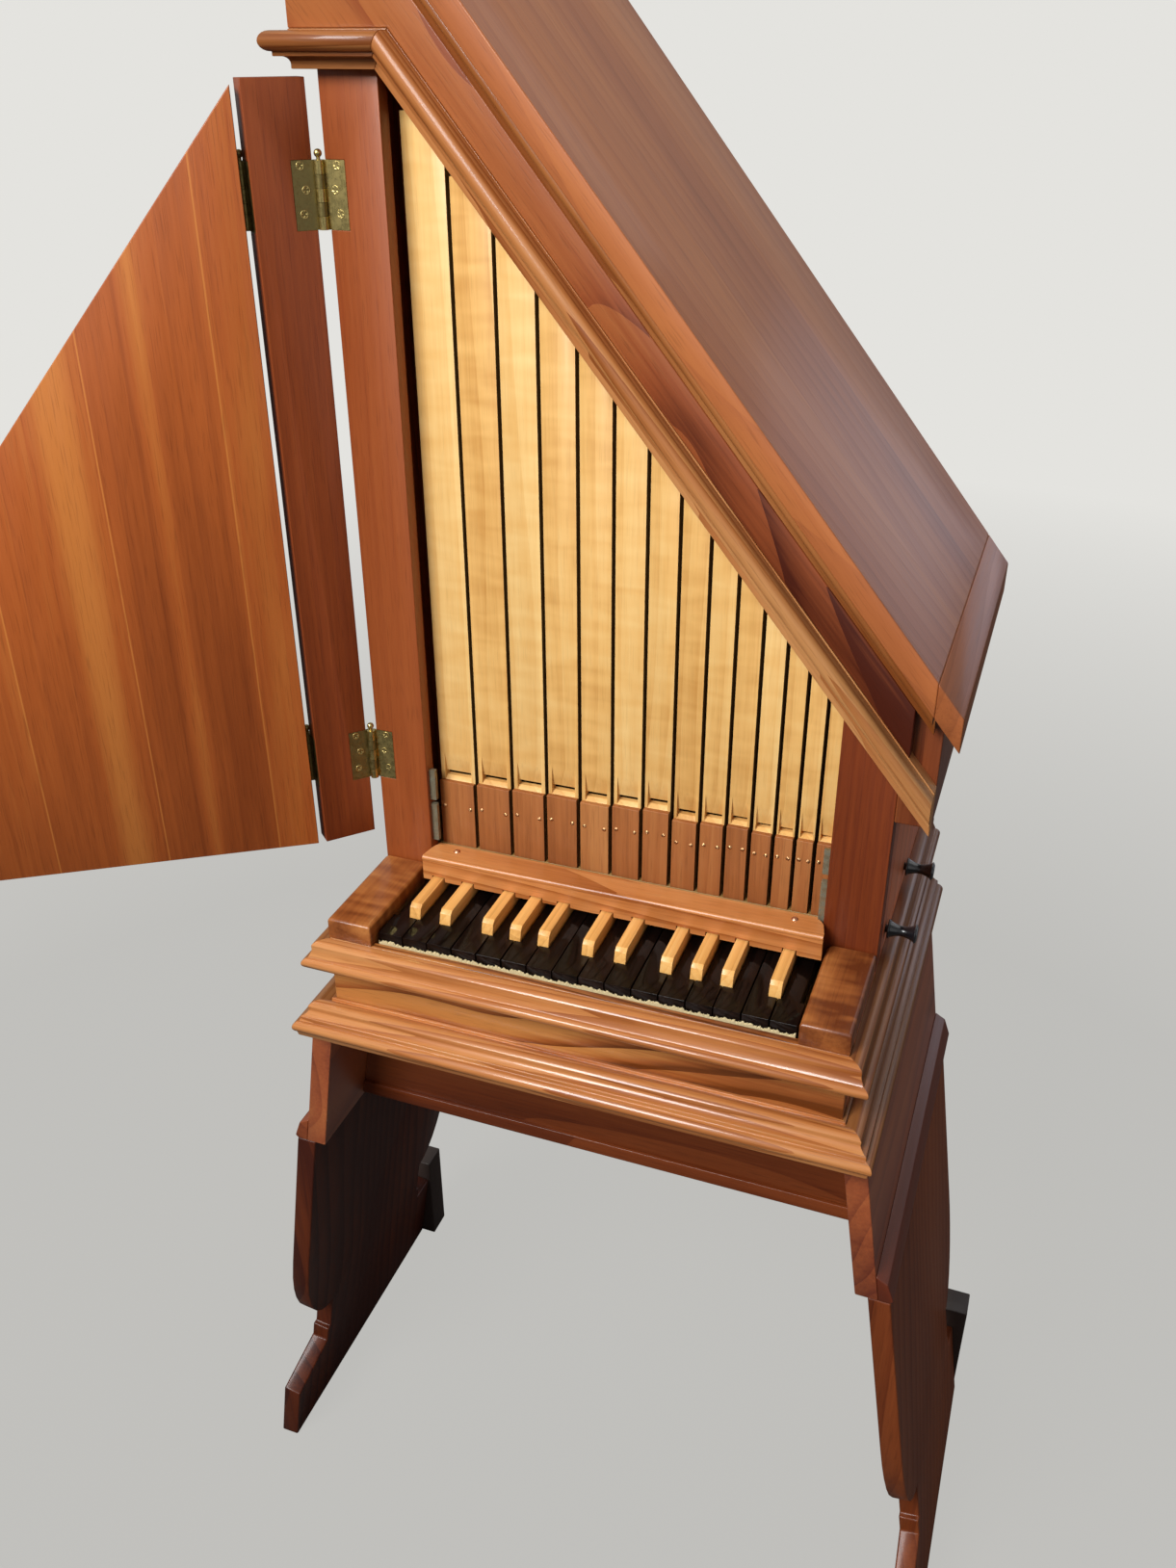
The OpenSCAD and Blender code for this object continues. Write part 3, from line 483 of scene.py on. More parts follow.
def wood(name, turn="z", label="", **changes):
    """A finished wood with its grain along one direction, made once for each label and direction.

    Growth rings are the fraction of the distance from the heart times the ring count, warped by a slow noise.
    Blotches, fibres, flame and ripple are noises stretched along the grain, and pores darken the colour. The
    painted falloff darkens the boards towards the right and lightens them where it is negative: a painted
    fall of the light across the case. Shade scales the whole palette, for a darker wood and also to paint a lit
    or shaded copy of one wood. Streaks are soft bands along the grain, and seams thin pale lines, a painted
    highlight where the edges of two boards meet."""
    key = f"{label or name}_{turn}"
    if key in bpy.data.materials:
        return bpy.data.materials[key]
    spec = {**PLAIN, **WOODS[name], **changes}
    colours = settings("wood")
    net = Net(key)
    placed = net.place(TURNS[turn])
    board = net.node("ShaderNodeAttribute", {"attribute_name": "board"}, out="Fac")
    shift = net.node("ShaderNodeCombineXYZ", None, {0: board * 1.7, 1: board * 2.3, 2: board * 5.1})
    here = net.node("ShaderNodeVectorMath", {"operation": "ADD"}, {0: placed, 1: shift})
    x, y, _ = net.split(here)
    drift = net.noise(here, (3.4, 3.4, spec["sway"]), 2.0)
    heart = ((x + 0.05) ** 2 + (y + 0.11) ** 2) ** 0.5
    ring = (heart * spec["rings"] + drift * spec["warp"] * 4).math("FRACT") ** 2.4
    blot = net.noise(here, (7.0, 7.0, 1.3), 3.0, 0.55, 0.4)
    fibre = net.noise(here, (330.0, 330.0, 9.0), 2.0)
    flame = net.noise(here, (38.0, 38.0, 6.0), 2.0, 0.5, 0.6)
    level = (0.5 + spec["tone"] + (blot - 0.5) * (2.2 * spec["blot"]) + (0.3 - ring) * spec["ring"] * 1.4
             + (fibre - 0.5) * (1.6 * spec["fibre"]) + (flame - 0.5) * (2.0 * spec["flame"])
             + (board - 0.5) * spec["board"])
    # Painted falloff: the colour darkens towards the right (lightens where the value is negative), painted shade for
    # the light falling off across the case
    if spec["fade"]:
        level = level + net.split(net.place())[0] * -spec["fade"]
    across = net.split(placed)[0] + (drift - 0.5) * 0.03 if spec["streaks"] else None
    for centre, half, gain in spec["streaks"]:
        band = (1.0 - (across - centre).math("ABSOLUTE") / half).math("MAXIMUM", 0.0)
        level = level + band * (blot + 0.3) * gain
    # Painted highlight: a thin pale line on each seam where the boards' edges catch the light
    for line in spec["seams"]:
        near = (1.0 - (net.split(placed)[0] - line).math("ABSOLUTE") / SEAM_HIGHLIGHT).math("MAXIMUM", 0.0)
        level = level + near * 0.9
    if spec["ripple"]:
        bars = net.noise(here, (24.0, 24.0, 85.0), 1.0, 0.4, 0.3)
        level = level + (bars - 0.5) * (2.0 * spec["ripple"])
    # The shade factor scales the palette: a darker wood, and also painted lit and shaded copies of one wood
    dark, mid, pale = ([c * spec["shade"] for c in getattr(colours, f"{name}_{kind}")] for kind in ROLES)
    body = net.ramp(level, [(0.0, dark), (0.48, mid), (1.0, pale)])
    pores = net.noise(here, (950.0, 950.0, 38.0), 1.0).between(0.56, 0.72)
    net.set(Base_Color=net.mix(pores * spec["pores"], body, (*[c * 0.35 for c in dark], 1)),
            Roughness=spec["rough"] + fibre * 0.12 + ring * 0.04, Coat_Weight=spec["coat"],
            Coat_Roughness=spec["smooth_coat"], Specular_IOR_Level=spec["gloss"])
    net.bump(fibre * 0.6 - ring * 0.3 - pores * 0.5, 0.00025, 0.35)
    return net.material


def metal(name, bright, dull, rough=0.28, worn=0.4):
    """Worn metal: tarnish gathers in soft patches, and a fine brushing roughens it."""
    if name in bpy.data.materials:
        return bpy.data.materials[name]
    net = Net(name)
    here = net.place()
    patches = net.noise(here, (260.0, 260.0, 260.0), 4.0, 0.6)
    brush = net.noise(here, (1800.0, 1800.0, 160.0), 2.0)
    tarnish = patches.between(0.45, 0.75) * worn
    net.set(Base_Color=net.mix(tarnish, (*bright, 1), (*dull, 1)), Metallic=1.0 - tarnish * 0.5,
            Roughness=rough + brush * 0.14 + tarnish * 0.3)
    net.bump(brush + patches, 0.0001, 0.3)
    return net.material


def lacquer(name, base, rough=0.18, coat=0.6):
    """Turned and lacquered dark wood: faint rings and dust in the gloss."""
    net = Net(name)
    here = net.place()
    fine = net.noise(here, (240.0, 900.0, 900.0), 3.0)
    dust = net.noise(here, (2600.0, 2600.0, 2600.0), 1.0).between(0.6, 0.8)
    pale = tuple(min(1.0, c * 2.5 + 0.01) for c in base)
    net.set(Base_Color=net.mix(fine * 0.25 + dust * 0.2, (*base, 1), (*pale, 1)),
            Roughness=rough + fine * 0.12 + dust * 0.15, Coat_Weight=coat, Coat_Roughness=0.1)
    net.bump(fine, 0.0001, 0.25)
    return net.material


def felt_cloth(base):
    """Pressed felt: matted fibres in two sizes, with tufts that catch the light."""
    net = Net("felt_strip")
    here = net.place()
    tufts = net.noise(here, (700.0, 700.0, 900.0), 4.0, 0.7, 1.5)
    hairs = net.noise(here, (2400.0, 2400.0, 900.0), 2.0, 0.6, 2.0)
    dark, pale = tuple(c * 0.55 for c in base), tuple(min(1, c * 1.15) for c in base)
    net.set(Base_Color=net.ramp(tufts * 0.6 + hairs * 0.4, [(0.3, dark), (0.6, base), (0.85, pale)]),
            Roughness=0.95)
    net.bump(tufts + hairs * 0.5, 0.0004, 0.8)
    return net.material


# Pieces


class OrganCase(bpy.types.Operator):
    """Cherry case: posts, sides, frieze, mouldings, back and roof, each with grain along its boards"""

    bl_idname = "organ.case"
    bl_label = "Case and roof"

    def execute(self, context):
        fit = settings("fittings")
        case_lo, case_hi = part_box("corner_posts")
        middle = (case_lo[0] + case_hi[0]) / 2
        back_board, roof_board = 0.22, 0.12
        eased("corner_posts", [wood("post", label="corner_post", board=0.5)], fit.ease,
              boards=lambda c: np.where(c[:, 0] < middle, 6, 3))
        # The side walls' colour is lifted far above the case's tone: painted light on sides turned away from the
        # lamps
        eased("side_walls", [wood("case", "z", "side_wall", shade=2.3, tone=0.1, coat=0.9, smooth_coat=0.38,
                                  gloss=0.5)], fit.ease)
        eased("upper_sides", [wood("case", label="upper_side", board=0.5, shade=0.66, coat=0.7, smooth_coat=0.3)],
              fit.ease)
        eased("frieze_board", [wood("frieze", "rake")], fit.ease)
        eased("back_panel", [wood("case", "z", "back", rings=50)], fit.ease,
              cuts=[((middle + s * back_board / 2, 0, 0), (1, 0, 0)) for s in (-1, 1)],
              boards=lambda c: np.floor((c[:, 0] - middle) / back_board + 0.5) + 4)
        level_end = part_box("neck_moulding")[0][0] + 0.08

        def neck_runs(c):
            # 0 for the return along the side, 1 for the level strip and 2 for the strip along the rake
            level = (c[:, 0] < level_end) & (c[:, 2] > case_hi[2] - 0.005)
            return np.where(c[:, 1] > case_lo[1] + 0.002, 0, np.where(level, 1, 2))

        # The return along the side and the level strip are darker copies of the trim, painted shade; the rake strip
        # gets a painted falloff that lightens it towards its lower end
        eased("neck_moulding", [
            wood("trim", "y", "neck", rings=150, coat=0.35, rough=0.36, tone=-0.25, shade=0.6),
            wood("trim", "x", "neck", rings=150, coat=0.35, rough=0.36, tone=-0.25, shade=0.66),
            wood("trim", "rake", "neck", rings=150, ring=0.5, coat=0.24, rough=0.42, tone=-0.35, fade=-1.6,
                 shade=0.84)], fit.fine_ease, runs=neck_runs)
        eased("crown_moulding", [wood("trim", "rake", "crown", rings=150, tone=-0.45, shade=0.77, coat=0.3)],
              fit.fine_ease)
        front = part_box("roof_board")[0][1]
        eased("roof_board", [wood("roof", "rake")], fit.ease,
              cuts=[((0, front + k * roof_board, 0), (0, 1, 0)) for k in (1, 2)],
              boards=lambda c: np.floor((c[:, 1] - front) / roof_board))
        eased("roof_end_batten", [wood("roof", "y", tone=-0.25)], fit.ease)
        return {"FINISHED"}


class OrganPipes(bpy.types.Operator):
    """Maple pipes with bevelled lips, their screwed caps, and the chest under them"""

    bl_idname = "organ.pipes"
    bl_label = "Pipes and chest"

    def execute(self, context):
        fit = settings("fittings")
        pipes, caps = solids("front_pipe_bodies"), solids("front_pipe_caps")
        front = pipes[0][0][1]
        sill, depth = front + 0.0085, front + 0.031

        def pipe_runs(c):
            # 1 deep in a mouth, 2 on the sides between two pipes and 0 elsewhere: 1 and 2 are painted shade, near
            # black
            deep = np.zeros(len(c), bool)
            for lo, hi in pipes:
                inner, outer = (lo[0] + 0.001, sill, lo[2] + 0.002), (hi[0] - 0.001, depth, hi[2] - 0.002)
                deep |= ((c > inner) & (c < outer)).all(axis=1)
            return np.where(deep, 1, np.where(on_sides(c, pipes), 2, 0))

        # The mouths' insides take a near-black wood and the pipes' sides in the gaps a near-black copy of the maple:
        # painted shade
        eased("front_pipe_bodies", [wood("pipe"), wood("ebony", label="mouth_shade", board=0.0),
                                    wood("pipe", label="pipe_side", shade=0.24)],
              fit.fine_ease, runs=pipe_runs, cuts=[((0, sill, 0), (0, 1, 0))])
        # The caps' sides in the gaps are a near-black copy of the cap wood: painted shade
        eased("front_pipe_caps", [wood("cap"), wood("cap", label="cap_side", shade=0.3)],
              fit.fine_ease, runs=lambda c: on_sides(c, caps))
        eased("rear_pipes", [wood("pipe")], fit.fine_ease)
        # The chest is darkened: painted shade under the pipes and the rail
        eased("pipe_chest", [wood("pipe", "x", "chest", rings=50, shade=0.45)], fit.fine_ease)
        self.screws(fit, caps)
        return {"FINISHED"}

    def screws(self, fit, caps):
        """Two small round screws near the side edges of each cap, on one level."""
        head, faces = screw_head(0.3)
        places = []
        for k, (lo, hi) in enumerate(caps):
            inset = min(0.0042, 0.17 * (hi[0] - lo[0]) + 0.0006)
            drop = 0.026 - 0.0006 * k
            for side, x in enumerate((lo[0] + inset, hi[0] - inset)):
                places.append(facing((x, lo[1], hi[2] - drop), (0, -1, 0), 1.3 * k + side, fit.cap_screw))
        points, faces = repeated(head, faces, places)
        piece("cap_screws", "case", points, faces, metal("cap_screw_brass", tuple(fit.cap_brass), (0.16, 0.08, 0.03)))


class OrganKeyboard(bpy.types.Operator):
    """Keys, cheek blocks, name rail with its screws, and the felt strip below the keys' fronts"""

    bl_idname = "organ.keyboard"
    bl_label = "Keyboard"

    def execute(self, context):
        fit = settings("fittings")
        for kind, count, finish, slot, first_board in (
                ("natural", NATURALS, wood("ebony", "y"), "natural_black", 0),
                ("sharp", SHARPS, wood("sharp", "y"), "sharp_wood", 20)):
            for k in range(1, count + 1):
                node = f"key_{kind}_{k}"
                eased(node, [finish], fit.fine_ease, body=node,
                      boards=lambda c, board=first_board + k: np.full(len(c), board))
        eased("key_cheeks", [wood("cheek", "y")], fit.ease)
        self.rail(fit)
        # The key bed is darkened like the chest: painted shade between and under the keys
        eased("key_bed", [wood("pipe", "x", "chest", rings=50, shade=0.45)], fit.fine_ease)
        frame["nodes"]["key_rod"].data.materials[0] = metal("rod_steel", tuple(fit.steel), (0.1, 0.09, 0.08), 0.35)
        self.felt(fit)
        return {"FINISHED"}

    def rail(self, fit):
        """Name rail: a profile in Y and Z carried along X, with a bead along the front and ends drawn in behind.

        The underside is z = low, raised to z = notched where x is over a sharp. The ends lean inwards with depth,
        and a lower strip behind the rail fills the place between the posts. Its two round screws stand on top."""
        node_lo, node_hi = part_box("name_rail")
        sharp_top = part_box("key_sharp_1")[1][2]
        low, notched, top = sharp_top - 0.0036, sharp_top + 0.0012, node_hi[2] + 0.003
        front, back = node_lo[1] - 0.015, node_lo[1] + 0.0095
        left, right = node_lo[0] + 0.0078, node_hi[0] - 0.0015
        # Depth behind the front and height under the top, round the bead and then over the flat
        bead = [(0.0, 0.0046), (-0.0005, 0.0038), (-0.0007, 0.0026), (-0.0004, 0.0014), (0.0004, 0.0005),
                (0.0016, 0.0)]
        flat = [(0.004, 0.0003), (0.0175, 0.0003), (0.0215, 0.0003), (0.024, 0.0003), (back - front, 0.0008)]
        # Depth behind the front, and how far the left and the right end are drawn in there
        drawn = np.array([[0.004, 0.0, 0.0], [0.0175, 0.0024, 0.0032], [0.0215, 0.004, 0.006],
                          [0.024, 0.0066, 0.0088], [0.0245, 0.0075, 0.0098]])
        over = bead + flat
        under = [d for d, _ in reversed(over) if d >= 0.0]
        depth = np.array([d for d, _ in over] + under)
        steps = [left]
        room, wall = 0.0011, 0.0001
        for k in range(1, SHARPS + 1):
            lo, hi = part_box(f"key_sharp_{k}")
            a, b = lo[0] - room, hi[0] + room
            steps += [a - wall, a, b, b + wall]
        x = np.array(steps + [right])
        raised = np.zeros(len(x), bool)
        raised[2:-1:4] = raised[3:-1:4] = True
        insets = [np.interp(depth, drawn[:, 0], drawn[:, side]) for side in (1, 2)]
        rows = []
        for k, (d, at_left, at_right) in enumerate(zip(depth, *insets)):
            place = x.copy()
            place[0] += at_left
            place[-1] -= at_right
            height = np.full(len(x), top - over[k][1]) if k < len(over) else np.where(raised, notched, low)
            rows.append(np.column_stack([place, np.full(len(x), front + d), height]))
        points = np.concatenate(rows)
        n, count = len(x), len(depth)
        faces = grid(count, n, wrap_rows=True)
        # End faces: the bead's fan in one face, then strips between the top and the underside
        first, mirror = len(bead), 2 * len(over) - 1
        end_faces = [list(range(first + 1)) + list(range(mirror - first, count))]
        end_faces += [[k, k + 1, mirror - k - 1, mirror - k] for k in range(first, len(over) - 1)]
        faces += [[k * n for k in face] for face in end_faces]
        faces += [[k * n + n - 1 for k in reversed(face)] for face in end_faces]
        post = 0.0062
        corners, sides = self.block((node_lo[0] + post, back + 0.0001, node_lo[2]),
                                    (node_hi[0] - post, node_hi[1], node_hi[2] - 0.005))
        faces += [[v + len(points) for v in face] for face in sides]
        # The rail's tone has a slight painted falloff towards the right
        made = piece("name_rail_board", "case", np.concatenate([points, corners]), faces,
                     wood("trim", "x", "rail", rings=90, blot=0.8, flame=0.4, fade=0.2, tone=0.3,
                          shade=1.12, coat=0.35, smooth_coat=0.25), smooth=False)
        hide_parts("name_rail")
        middle = (node_lo[0] + node_hi[0]) / 2
        head, faces = screw_head(0.34, slot_width=0.1, slot_depth=0.05)
        points, faces = repeated(head, faces, [
            facing((middle + dx, front + 0.0175, top - 0.0003), (0, 0, 1), 4 * dx, fit.rail_screw)
            for dx in (-0.1555, 0.161)])
        piece("rail_screws", "case", points, faces,
              metal("rail_screw_copper", tuple(fit.copper), (0.3, 0.14, 0.08), 0.24, 0.3))

    def block(self, lo, hi):
        """Corners and outward faces of a plain bar."""
        corners = [(x, y, z) for x in (lo[0], hi[0]) for y in (lo[1], hi[1]) for z in (lo[2], hi[2])]
        return corners, [[0, 1, 3, 2], [4, 6, 7, 5], [0, 4, 5, 1], [2, 3, 7, 6], [0, 2, 6, 4], [1, 5, 7, 3]]

    def felt(self, fit):
        """A thin strip in front of the keys: its top edge is ragged, z = top + hair * sum of sines in x."""
        key_lo, key_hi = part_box("key_natural_1")
        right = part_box(f"key_natural_{NATURALS}")[1][0]
        count = 900
        x = np.linspace(key_lo[0] + 0.0005, right - 0.0005, count)
        rag = sum(np.sin(x * f + p) / n for n, f, p in ((1.3, 96, 0.4), (1.2, 310, 2.2), (1.2, 870, 0.3),
                                                        (1.6, 1730, 1.1), (2, 4100, 2.3), (3, 9300, 0.7)))
        top = key_hi[2] - 0.0076 + fit.felt_hair * (rag * 0.5).clip(-1.0, 0.9)
        low = key_lo[2] - 0.009
        front, back = key_lo[1] - 0.0019, key_lo[1] - 0.0003
        lean = 0.0003 * np.sin(x * 260)
        section = [(front, low), (front, top - 0.0012), ((front + back) / 2 + lean, top), (back, top - 0.001),
                   (back, low)]
        rows = [np.column_stack(np.broadcast_arrays(x, y, z)) for y, z in section]
        starts = [k * count for k in range(len(rows))]
        ends = [starts, [v + count - 1 for v in reversed(starts)]]
        piece("key_felt", "case", np.concatenate(rows), grid(len(rows), count, wrap_rows=True) + ends,
              felt_cloth(tuple(fit.felt)), smooth=False)


class OrganTable(bpy.types.Operator):
    """Table front, its mouldings, the aprons and the splayed stand"""

    bl_idname = "organ.table"
    bl_label = "Table and stand"

    def execute(self, context):
        fit = settings("fittings")
        lo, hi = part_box("table_fascia")
        eased("table_fascia", [wood("fascia", "x")], fit.ease)

        def runs(c):
            # Front strip where a face lies further out to the front than to the side
            out = np.maximum(c[:, 0] - hi[0], lo[0] - c[:, 0])
            return np.where(lo[1] - c[:, 1] > out, 0, 1)

        mitres = [((hi[0], lo[1], 0), (1, 1, 0)), ((lo[0], lo[1], 0), (-1, 1, 0))]
        # The side returns of the mouldings are a much darker copy, painted shade, and both runs carry a painted
        # falloff towards the right
        for node in ("upper_table_moulding", "lower_table_moulding"):
            eased(node, [wood("trim", "x", "table", rings=150, fade=0.6, tone=0.04),
                         wood("trim", "y", "table", rings=150, shade=0.52, fade=0.9, tone=-0.1, coat=0.5,
                              smooth_coat=0.3)], fit.fine_ease, runs=runs, cuts=mitres)
        for node in ("apron_boards", "bottom_board"):
            eased(node, [wood("stand", "x", "apron", shade=1.05, fade=0.0, tone=0.0)], fit.ease)
        # Both carry a painted falloff, darker towards the right
        for node, look in (("skirt_panels", dict(shade=1.05, coat=1.0)),
                           ("skirt_mouldings", dict(shade=0.8, tone=-0.3, coat=0.3))):
            eased(node, [wood("case", "y", node, board=0.1, fade=0.6, smooth_coat=0.38, gloss=0.5, **look)],
                  fit.ease)
        eased("stand_panels", [wood("stand")], fit.ease * 1.5)
        eased("heel_blocks", [lacquer("heel_paint", tuple(fit.heel), 0.5, 0.1)], fit.ease)
        return {"FINISHED"}


class OrganDoor(bpy.types.Operator):
    """Two door leaves of glued boards, and their brass hinges with countersunk screws"""

    bl_idname = "organ.door"
    bl_label = "Door and hinges"

    def execute(self, context):
        fit = settings("fittings")
        turn = math.radians(FLAT - CLOSED)
        along = np.array([math.cos(turn), math.sin(turn), 0.0])
        start = np.array(JOINTS["door_fold_hinge"]["pos_m"])
        # Places across the wide leaf, measured from the fold: middle, half width and gain of the pale streaks
        seams = np.array([0.036, 0.134, 0.228, 0.325])
        streaks = ((0.018, 0.03, 0.2), (0.09, 0.012, 0.5), (0.158, 0.018, 0.9), (0.27, 0.03, 0.2))
        fold = start @ along
        eased("door_leaf_narrow", [wood("post", "narrow")], fit.fine_ease, body="door_narrow")
        # The seams become thin pale lines, a painted highlight where the boards meet
        eased("door_leaf_wide", [wood("door", "wide", seams=[fold + d for d in seams], streaks=[
            (fold + d, half, gain) for d, half, gain in streaks])], fit.fine_ease, body="door_wide",
              cuts=[(tuple(start + d * along), tuple(along)) for d in seams],
              boards=lambda c: np.searchsorted(seams, (c - start) @ along) + 2)
        brass = metal("hinge_brass", tuple(fit.brass), tuple(fit.brass_old), 0.2, 0.4)
        # The hinge leaves on the door take a darker copy of the brass: painted shade
        painted_shade_brass = metal("hinge_brass_dim", tuple(c * 0.5 for c in fit.brass), tuple(fit.brass_old), 0.3, 0.7)
        frame["nodes"]["hinge_post_side"].data.materials[0] = brass
        for node in ("hinge_narrow_leaf", "hinge_wide_leaf"):
            frame["nodes"][node].data.materials[0] = painted_shade_brass
        self.hinge_screws(fit, np.linalg.inv(swung("door_post_hinge", CLOSED)))
        return {"FINISHED"}

    def hinge_screws(self, fit, opened):
        """Three screws down each leaf of the post hinges; the door's own are placed closed and then opened."""
        post_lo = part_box("corner_posts")[0]
        head, faces = screw_head(0.05, slot_depth=0.16, cross=True)
        steel = metal("hinge_screw_brass", tuple(fit.brass), tuple(fit.brass_old), 0.32, 0.4)
        case_side, door_side = [], []
        for lo, hi in solids("hinge_post_side"):
            for k in (-1, 0, 1):
                x = post_lo[0] + (0.0095 if k else 0.0065)
                z = (lo[2] + hi[2]) / 2 + 0.0165 * k
                case_side.append(facing((x, post_lo[1] - 0.0001, z), (0, -1, 0), 1.1 * k, fit.hinge_screw))
                door_side.append(opened @ facing((x, post_lo[1] - 0.0049, z), (0, 1, 0), 0.8 * k, fit.hinge_screw))
        for name, body, places in (("post_hinge_screws", "case", case_side),
                                   ("leaf_hinge_screws", "door_narrow", door_side)):
            points, all_faces = repeated(head, faces, places)
            piece(name, body, points, all_faces, steel)


class OrganHardware(bpy.types.Operator):
    """Stop knobs with end discs, and the clips on the posts"""

    bl_idname = "organ.hardware"
    bl_label = "Knobs and clips"

    def execute(self, context):
        fit = settings("fittings")
        black = lacquer("knob_black", tuple(fit.knob))
        grey = metal("knob_disc", tuple(fit.disc), (0.25, 0.25, 0.26), 0.3, 0.3)
        for stop in ("stop_knob_front", "stop_knob_rear"):
            body = stop.replace("knob_", "")
            eased(stop, [black], fit.fine_ease, body=body)
            lo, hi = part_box(stop)
            r = (hi[2] - lo[2]) / 2
            around = 32
            # Disc sunk in the end: r and height of a shallow dish with a raised rim
            dish = revolved([[0, -0.001], [0.8 * r, -0.001], [0.8 * r, 0], [0.74 * r, 0.0005], [0.6 * r, 0.0001],
                             [0.3 * r, 0.0003], [0, 0.0003]], around)
            points, faces = repeated(dish, grid(len(dish), around, wrap_columns=True),
                                     [facing((hi[0], (lo[1] + hi[1]) / 2, (lo[2] + hi[2]) / 2), (1, 0, 0))])
            piece(stop + "_disc", body, points, faces, grey)
        self.clips(fit)
        return {"FINISHED"}

    def clips(self, fit):
        """Flat bars on the posts' inner faces, each a stadium outline carried sideways off the post.

        y = 0.0024 clip(1.6 cos t) and z = (h/2 - r) sign(sin t) + r sin t, drawn in a little at the last step."""
        lo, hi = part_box("corner_posts")
        middle = (lo[0] + hi[0]) / 2
        key_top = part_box("key_natural_1")[1][2]
        around, inner, corner = 24, 0.1842, 0.001
        turn = np.linspace(0, 2 * math.pi, around, endpoint=False)
        y = 0.0024 * np.clip(1.6 * np.cos(turn), -1, 1)
        points, faces = [], []
        # Side of the case, and each clip's lower and upper end over the keys
        for side, low, high in ((-1, 0.077, 0.108), (-1, 0.034, 0.073), (1, 0.076, 0.1), (1, 0.027, 0.069)):
            z = ((high - low) / 2 - corner) * np.sign(np.sin(turn)) + corner * np.sin(turn)
            # Distance off the post, and the outline's size in Y and in Z
            rows = [np.column_stack([np.full(around, middle + side * (inner - off)), lo[1] + 0.007 + y * wide,
                                     key_top + (low + high) / 2 + z * tall])
                    for off, wide, tall in ((-0.0005, 1.0, 1.0), (0.0045, 1.0, 1.0), (0.0055, 0.85, 0.985))]
            first = len(points) * len(rows) * around
            last = first + (len(rows) - 1) * around
            made = grid(len(rows), around, wrap_columns=True, first=first)
            made += [list(range(first, first + around))[::-1], list(range(last, last + around))]
            faces += [face[::-side] for face in made]
            points.append(np.concatenate(rows))
        piece("post_clips", "case", np.concatenate(points), faces,
              metal("clip_metal", tuple(fit.clip), (0.2, 0.19, 0.14), 0.5, 1.2), smooth=False)


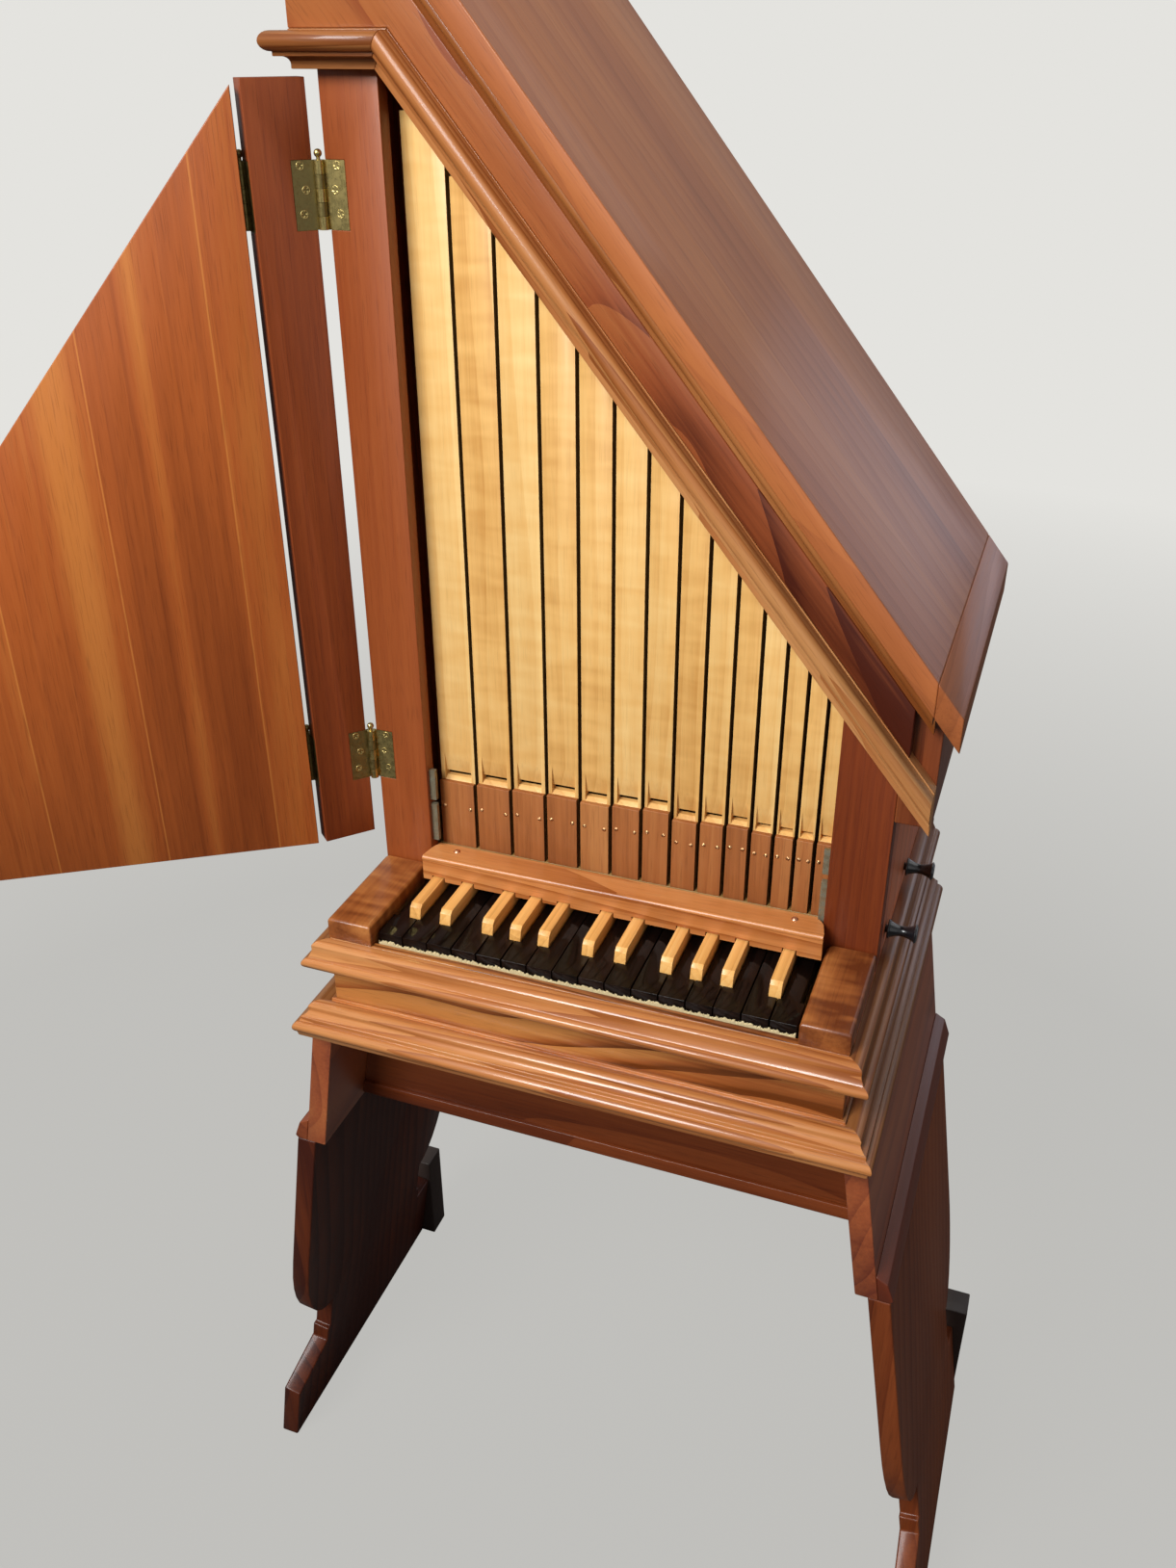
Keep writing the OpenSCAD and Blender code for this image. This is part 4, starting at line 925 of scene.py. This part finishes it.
class OrganStage(bpy.types.Operator):
    """Pale floor, soft lamps and the camera"""

    bl_idname = "organ.stage"
    bl_label = "Studio"

    def execute(self, context):
        studio = settings("studio")
        scene = context.scene
        scene.view_settings.view_transform = "Standard"
        # Floor: a disc whose rings widen outwards, r = 14 s^2
        rings, around, radius = 12, 48, 14
        r = np.linspace(0, 1, rings) ** 2 * radius
        disc = revolved(np.column_stack([r, np.zeros(rings)]), around)
        floor = piece("floor", "case", disc, grid(rings, around, wrap_columns=True), self.floor_paint(studio))
        self.surround(scene, studio)
        aim = (0.13, 0.08, 0.95)
        self.lamp("key_light", (-0.7, -2.2, 2.75), aim, 1.3, studio.key)
        self.lamp("fill_light", (2.6, -2.2, 1.8), aim, 2.4, studio.fill)
        self.lamp("top_light", (1.3, 1.4, 3.1), aim, 2.2, studio.top)
        self.lamp("sheen_light", (1.35, 2.6, 1.25), (0.4, 0.1, 1.1), 1.1, studio.sheen, (0.78, 0.8, 1.0))
        camera = bpy.data.cameras.new("camera")
        camera.sensor_fit = "HORIZONTAL"
        camera.sensor_width = 36  # the frame's width in millimetres, as the lens setting says
        camera.lens = studio.lens
        camera.clip_start = 0.05
        holder = bpy.data.objects.new("camera", camera)
        context.collection.objects.link(holder)
        holder.location = (0.4574, -0.9670, 1.4420)
        holder.rotation_euler = tuple(map(math.radians, (60.655, 0.188, 20.214)))
        scene.camera = holder
        return {"FINISHED"}

    def floor_paint(self, studio):
        """A mid grey that takes the shadows, lifted to the backdrop's pale tone where the camera sees it."""
        net = Net("studio_floor")
        net.set(Base_Color=(*studio.floor, 1), Roughness=0.85)
        seen = net.node("ShaderNodeLightPath", out="Is Camera Ray")
        pale = net.node("ShaderNodeEmission", None, {"Color": (*studio.backdrop, 1)})
        near = net.node("ShaderNodeVectorMath", {"operation": "LENGTH"}, {0: net.place()}, out="Value")
        lift = seen * (0.65 + near.between(1.2, 4.0) * 0.35)
        both = net.node("ShaderNodeMixShader", None, {0: lift, 1: Link(net, net.shader.outputs[0]), 2: pale})
        out = next(n for n in net.tree.nodes if n.type == "OUTPUT_MATERIAL")
        net.feed(out.inputs["Surface"], both)
        return net.material

    def surround(self, scene, studio):
        """The surround lights softly, looks pale to the camera, and is dimmer where varnish mirrors it."""
        scene.world = bpy.data.worlds.new("surround")
        net = Net("surround", scene.world)
        out = next(n for n in net.tree.nodes if n.type == "OUTPUT_WORLD")
        camera, gloss, through = (net.node("ShaderNodeLightPath", out=f"Is {kind} Ray")
                                  for kind in ("Camera", "Glossy", "Transmission"))
        seen = camera.math("MAXIMUM", through).math("MAXIMUM", gloss * studio.mirrored)
        soft = net.node("ShaderNodeBackground", None, {"Color": (0.96, 0.97, 1.0, 1), "Strength": studio.ambient})
        pale = net.node("ShaderNodeBackground", None, {"Color": (*studio.backdrop, 1), "Strength": 1.0})
        net.feed(out.inputs["Surface"], net.node("ShaderNodeMixShader", None, {0: seen, 1: soft, 2: pale}))

    def lamp(self, name, place, aim, size, power, tint=(1.0, 1.0, 1.0)):
        """A square soft lamp, turned so that it shines from its place towards the aim."""
        light = bpy.data.lights.new(name, "AREA")
        light.color = tint
        light.size = size
        light.energy = power
        lamp = bpy.data.objects.new(name, light)
        bpy.context.collection.objects.link(lamp)
        d = np.subtract(aim, place)
        lamp.location = place
        lamp.rotation_euler = (math.atan2(math.hypot(d[0], d[1]), -d[2]), 0, math.atan2(-d[0], d[1]))


class OrganPanel(bpy.types.Panel):
    """Lists the organ's pieces in the sidebar"""

    bl_idname = "VIEW3D_PT_organ"
    bl_label = "Practice Pipe Organ"
    bl_space_type = "VIEW_3D"
    bl_region_type = "UI"
    bl_category = "Organ"

    def draw(self, context):
        for made in OPERATORS:
            self.layout.operator(made.bl_idname)


GROUPS = {"wood": OrganWood, "fittings": OrganFittings, "studio": OrganStudio}
OPERATORS = (OrganCase, OrganPipes, OrganKeyboard, OrganTable, OrganDoor, OrganHardware, OrganStage)


def register():
    for made in (*GROUPS.values(), *OPERATORS, OrganPanel):
        bpy.utils.register_class(made)
    for name, group in GROUPS.items():
        setattr(bpy.types.Scene, "organ_" + name, PointerProperty(type=group))


def unregister():
    for name in GROUPS:
        delattr(bpy.types.Scene, "organ_" + name)
    for made in (OrganPanel, *reversed(OPERATORS), *GROUPS.values()):
        bpy.utils.unregister_class(made)


def main():
    register()
    for made in OPERATORS:
        group, call = made.bl_idname.split(".")
        getattr(getattr(bpy.ops, group), call)()


if __name__ == "__main__":
    main()
